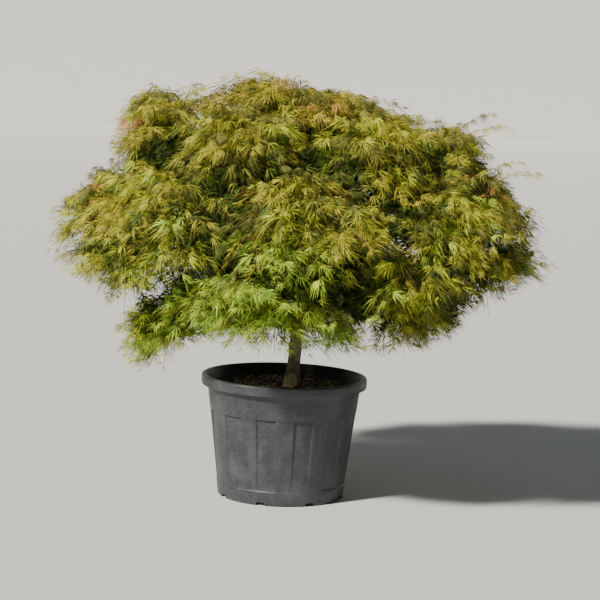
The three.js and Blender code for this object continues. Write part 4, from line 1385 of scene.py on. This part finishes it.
def add_floor(colours):
    """A floor and a wall behind it, as one surface that stays out of the part."""
    edges = ((-FLOOR_REACH, 0), (WALL_AWAY, 0), (WALL_AWAY, WALL_HEIGHT))
    corners = np.array([
        [reach, front, level] for front, level in edges for reach in (FLOOR_REACH, -FLOOR_REACH)])
    quads = np.array([[1, 0, 2, 3], [3, 2, 4, 5]])
    floor = add_object("floor_and_wall", mesh_of("floor_and_wall", corners, quads, False))
    floor.data.materials.append(pale_floor_paint(colours))


def add_sky(strength):
    """An even light from all round."""
    world = bpy.data.worlds.new("studio")
    world.use_nodes = True
    background = world.node_tree.nodes["Background"]
    background.inputs["Color"].default_value = rgba(SKY_COLOUR)
    background.inputs["Strength"].default_value = strength
    bpy.context.scene.world = world


def add_sun(strength):
    """The key light, which casts the shadows."""
    sun = bpy.data.lights.new("key", "SUN")
    sun.energy = strength
    sun.angle = math.radians(SUN_WIDTH)
    sun.color = SUN_COLOUR
    lamp = add_object("key", sun)
    lamp.rotation_mode = "QUATERNION"
    lamp.rotation_quaternion = Vector(SUN_HEADING).to_track_quat("-Z", "Y")


def add_camera(lens):
    """The camera that sees the plant as the photo does."""
    camera = add_object("camera", bpy.data.cameras.new("camera"))
    camera.data.sensor_width = SENSOR_WIDTH
    camera.data.lens = lens
    camera.matrix_world = camera_place()
    bpy.context.scene.camera = camera


def camera_place():
    """Where the camera stands and how it is turned."""
    fall, turn, roll = (math.radians(degrees) for degrees in CAMERA_TURNS)
    forward = Vector((math.sin(turn) * math.cos(fall), math.cos(turn) * math.cos(fall), -math.sin(fall)))
    right = forward.cross(Vector(UP)).normalized()
    above = right.cross(forward)
    image_right = right * math.cos(roll) + above * math.sin(roll)
    image_up = above * math.cos(roll) - right * math.sin(roll)
    turned_axes = Matrix((image_right, image_up, -forward)).transposed().to_4x4()
    return Matrix.Translation(CAMERA_PLACE) @ turned_axes


class VIEW3D_PT_maple(bpy.types.Panel):
    """Shows the settings of the potted maple and the buttons that build its pieces"""
    bl_label = "Potted laceleaf maple"
    bl_space_type = "VIEW_3D"
    bl_region_type = "UI"
    bl_category = "Maple"

    def draw(self, context):
        layout = self.layout
        for group in PROPERTY_GROUPS:
            box = layout.box()
            settings = getattr(context.scene, group)
            for name in settings.bl_rna.properties.keys():
                if name not in ("rna_type", "name"):
                    box.prop(settings, name)
        for operator in OPERATORS:
            layout.operator(operator.bl_idname)


OPERATORS = (MAPLE_OT_stage, MAPLE_OT_pot, MAPLE_OT_compost, MAPLE_OT_limbs, MAPLE_OT_foliage)
PROPERTY_GROUPS = {
    "maple_pot": MaplePotSizes,
    "maple_compost": MapleCompostSizes,
    "maple_crown": MapleCrownSizes,
    "maple_colours": MapleColours,
    "maple_stage": MapleStageSizes,
}


def register():
    for group in PROPERTY_GROUPS.values():
        bpy.utils.register_class(group)
    for name, group in PROPERTY_GROUPS.items():
        setattr(bpy.types.Scene, name, PointerProperty(type=group))
    for shown in (*OPERATORS, VIEW3D_PT_maple):
        bpy.utils.register_class(shown)


def unregister():
    for shown in (VIEW3D_PT_maple, *reversed(OPERATORS)):
        bpy.utils.unregister_class(shown)
    for name, group in PROPERTY_GROUPS.items():
        delattr(bpy.types.Scene, name)
        bpy.utils.unregister_class(group)


def main():
    register()
    for operator in OPERATORS:
        group, name = operator.bl_idname.split(".")
        getattr(getattr(bpy.ops, group), name)()
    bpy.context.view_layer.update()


if __name__ == "__main__":
    main()
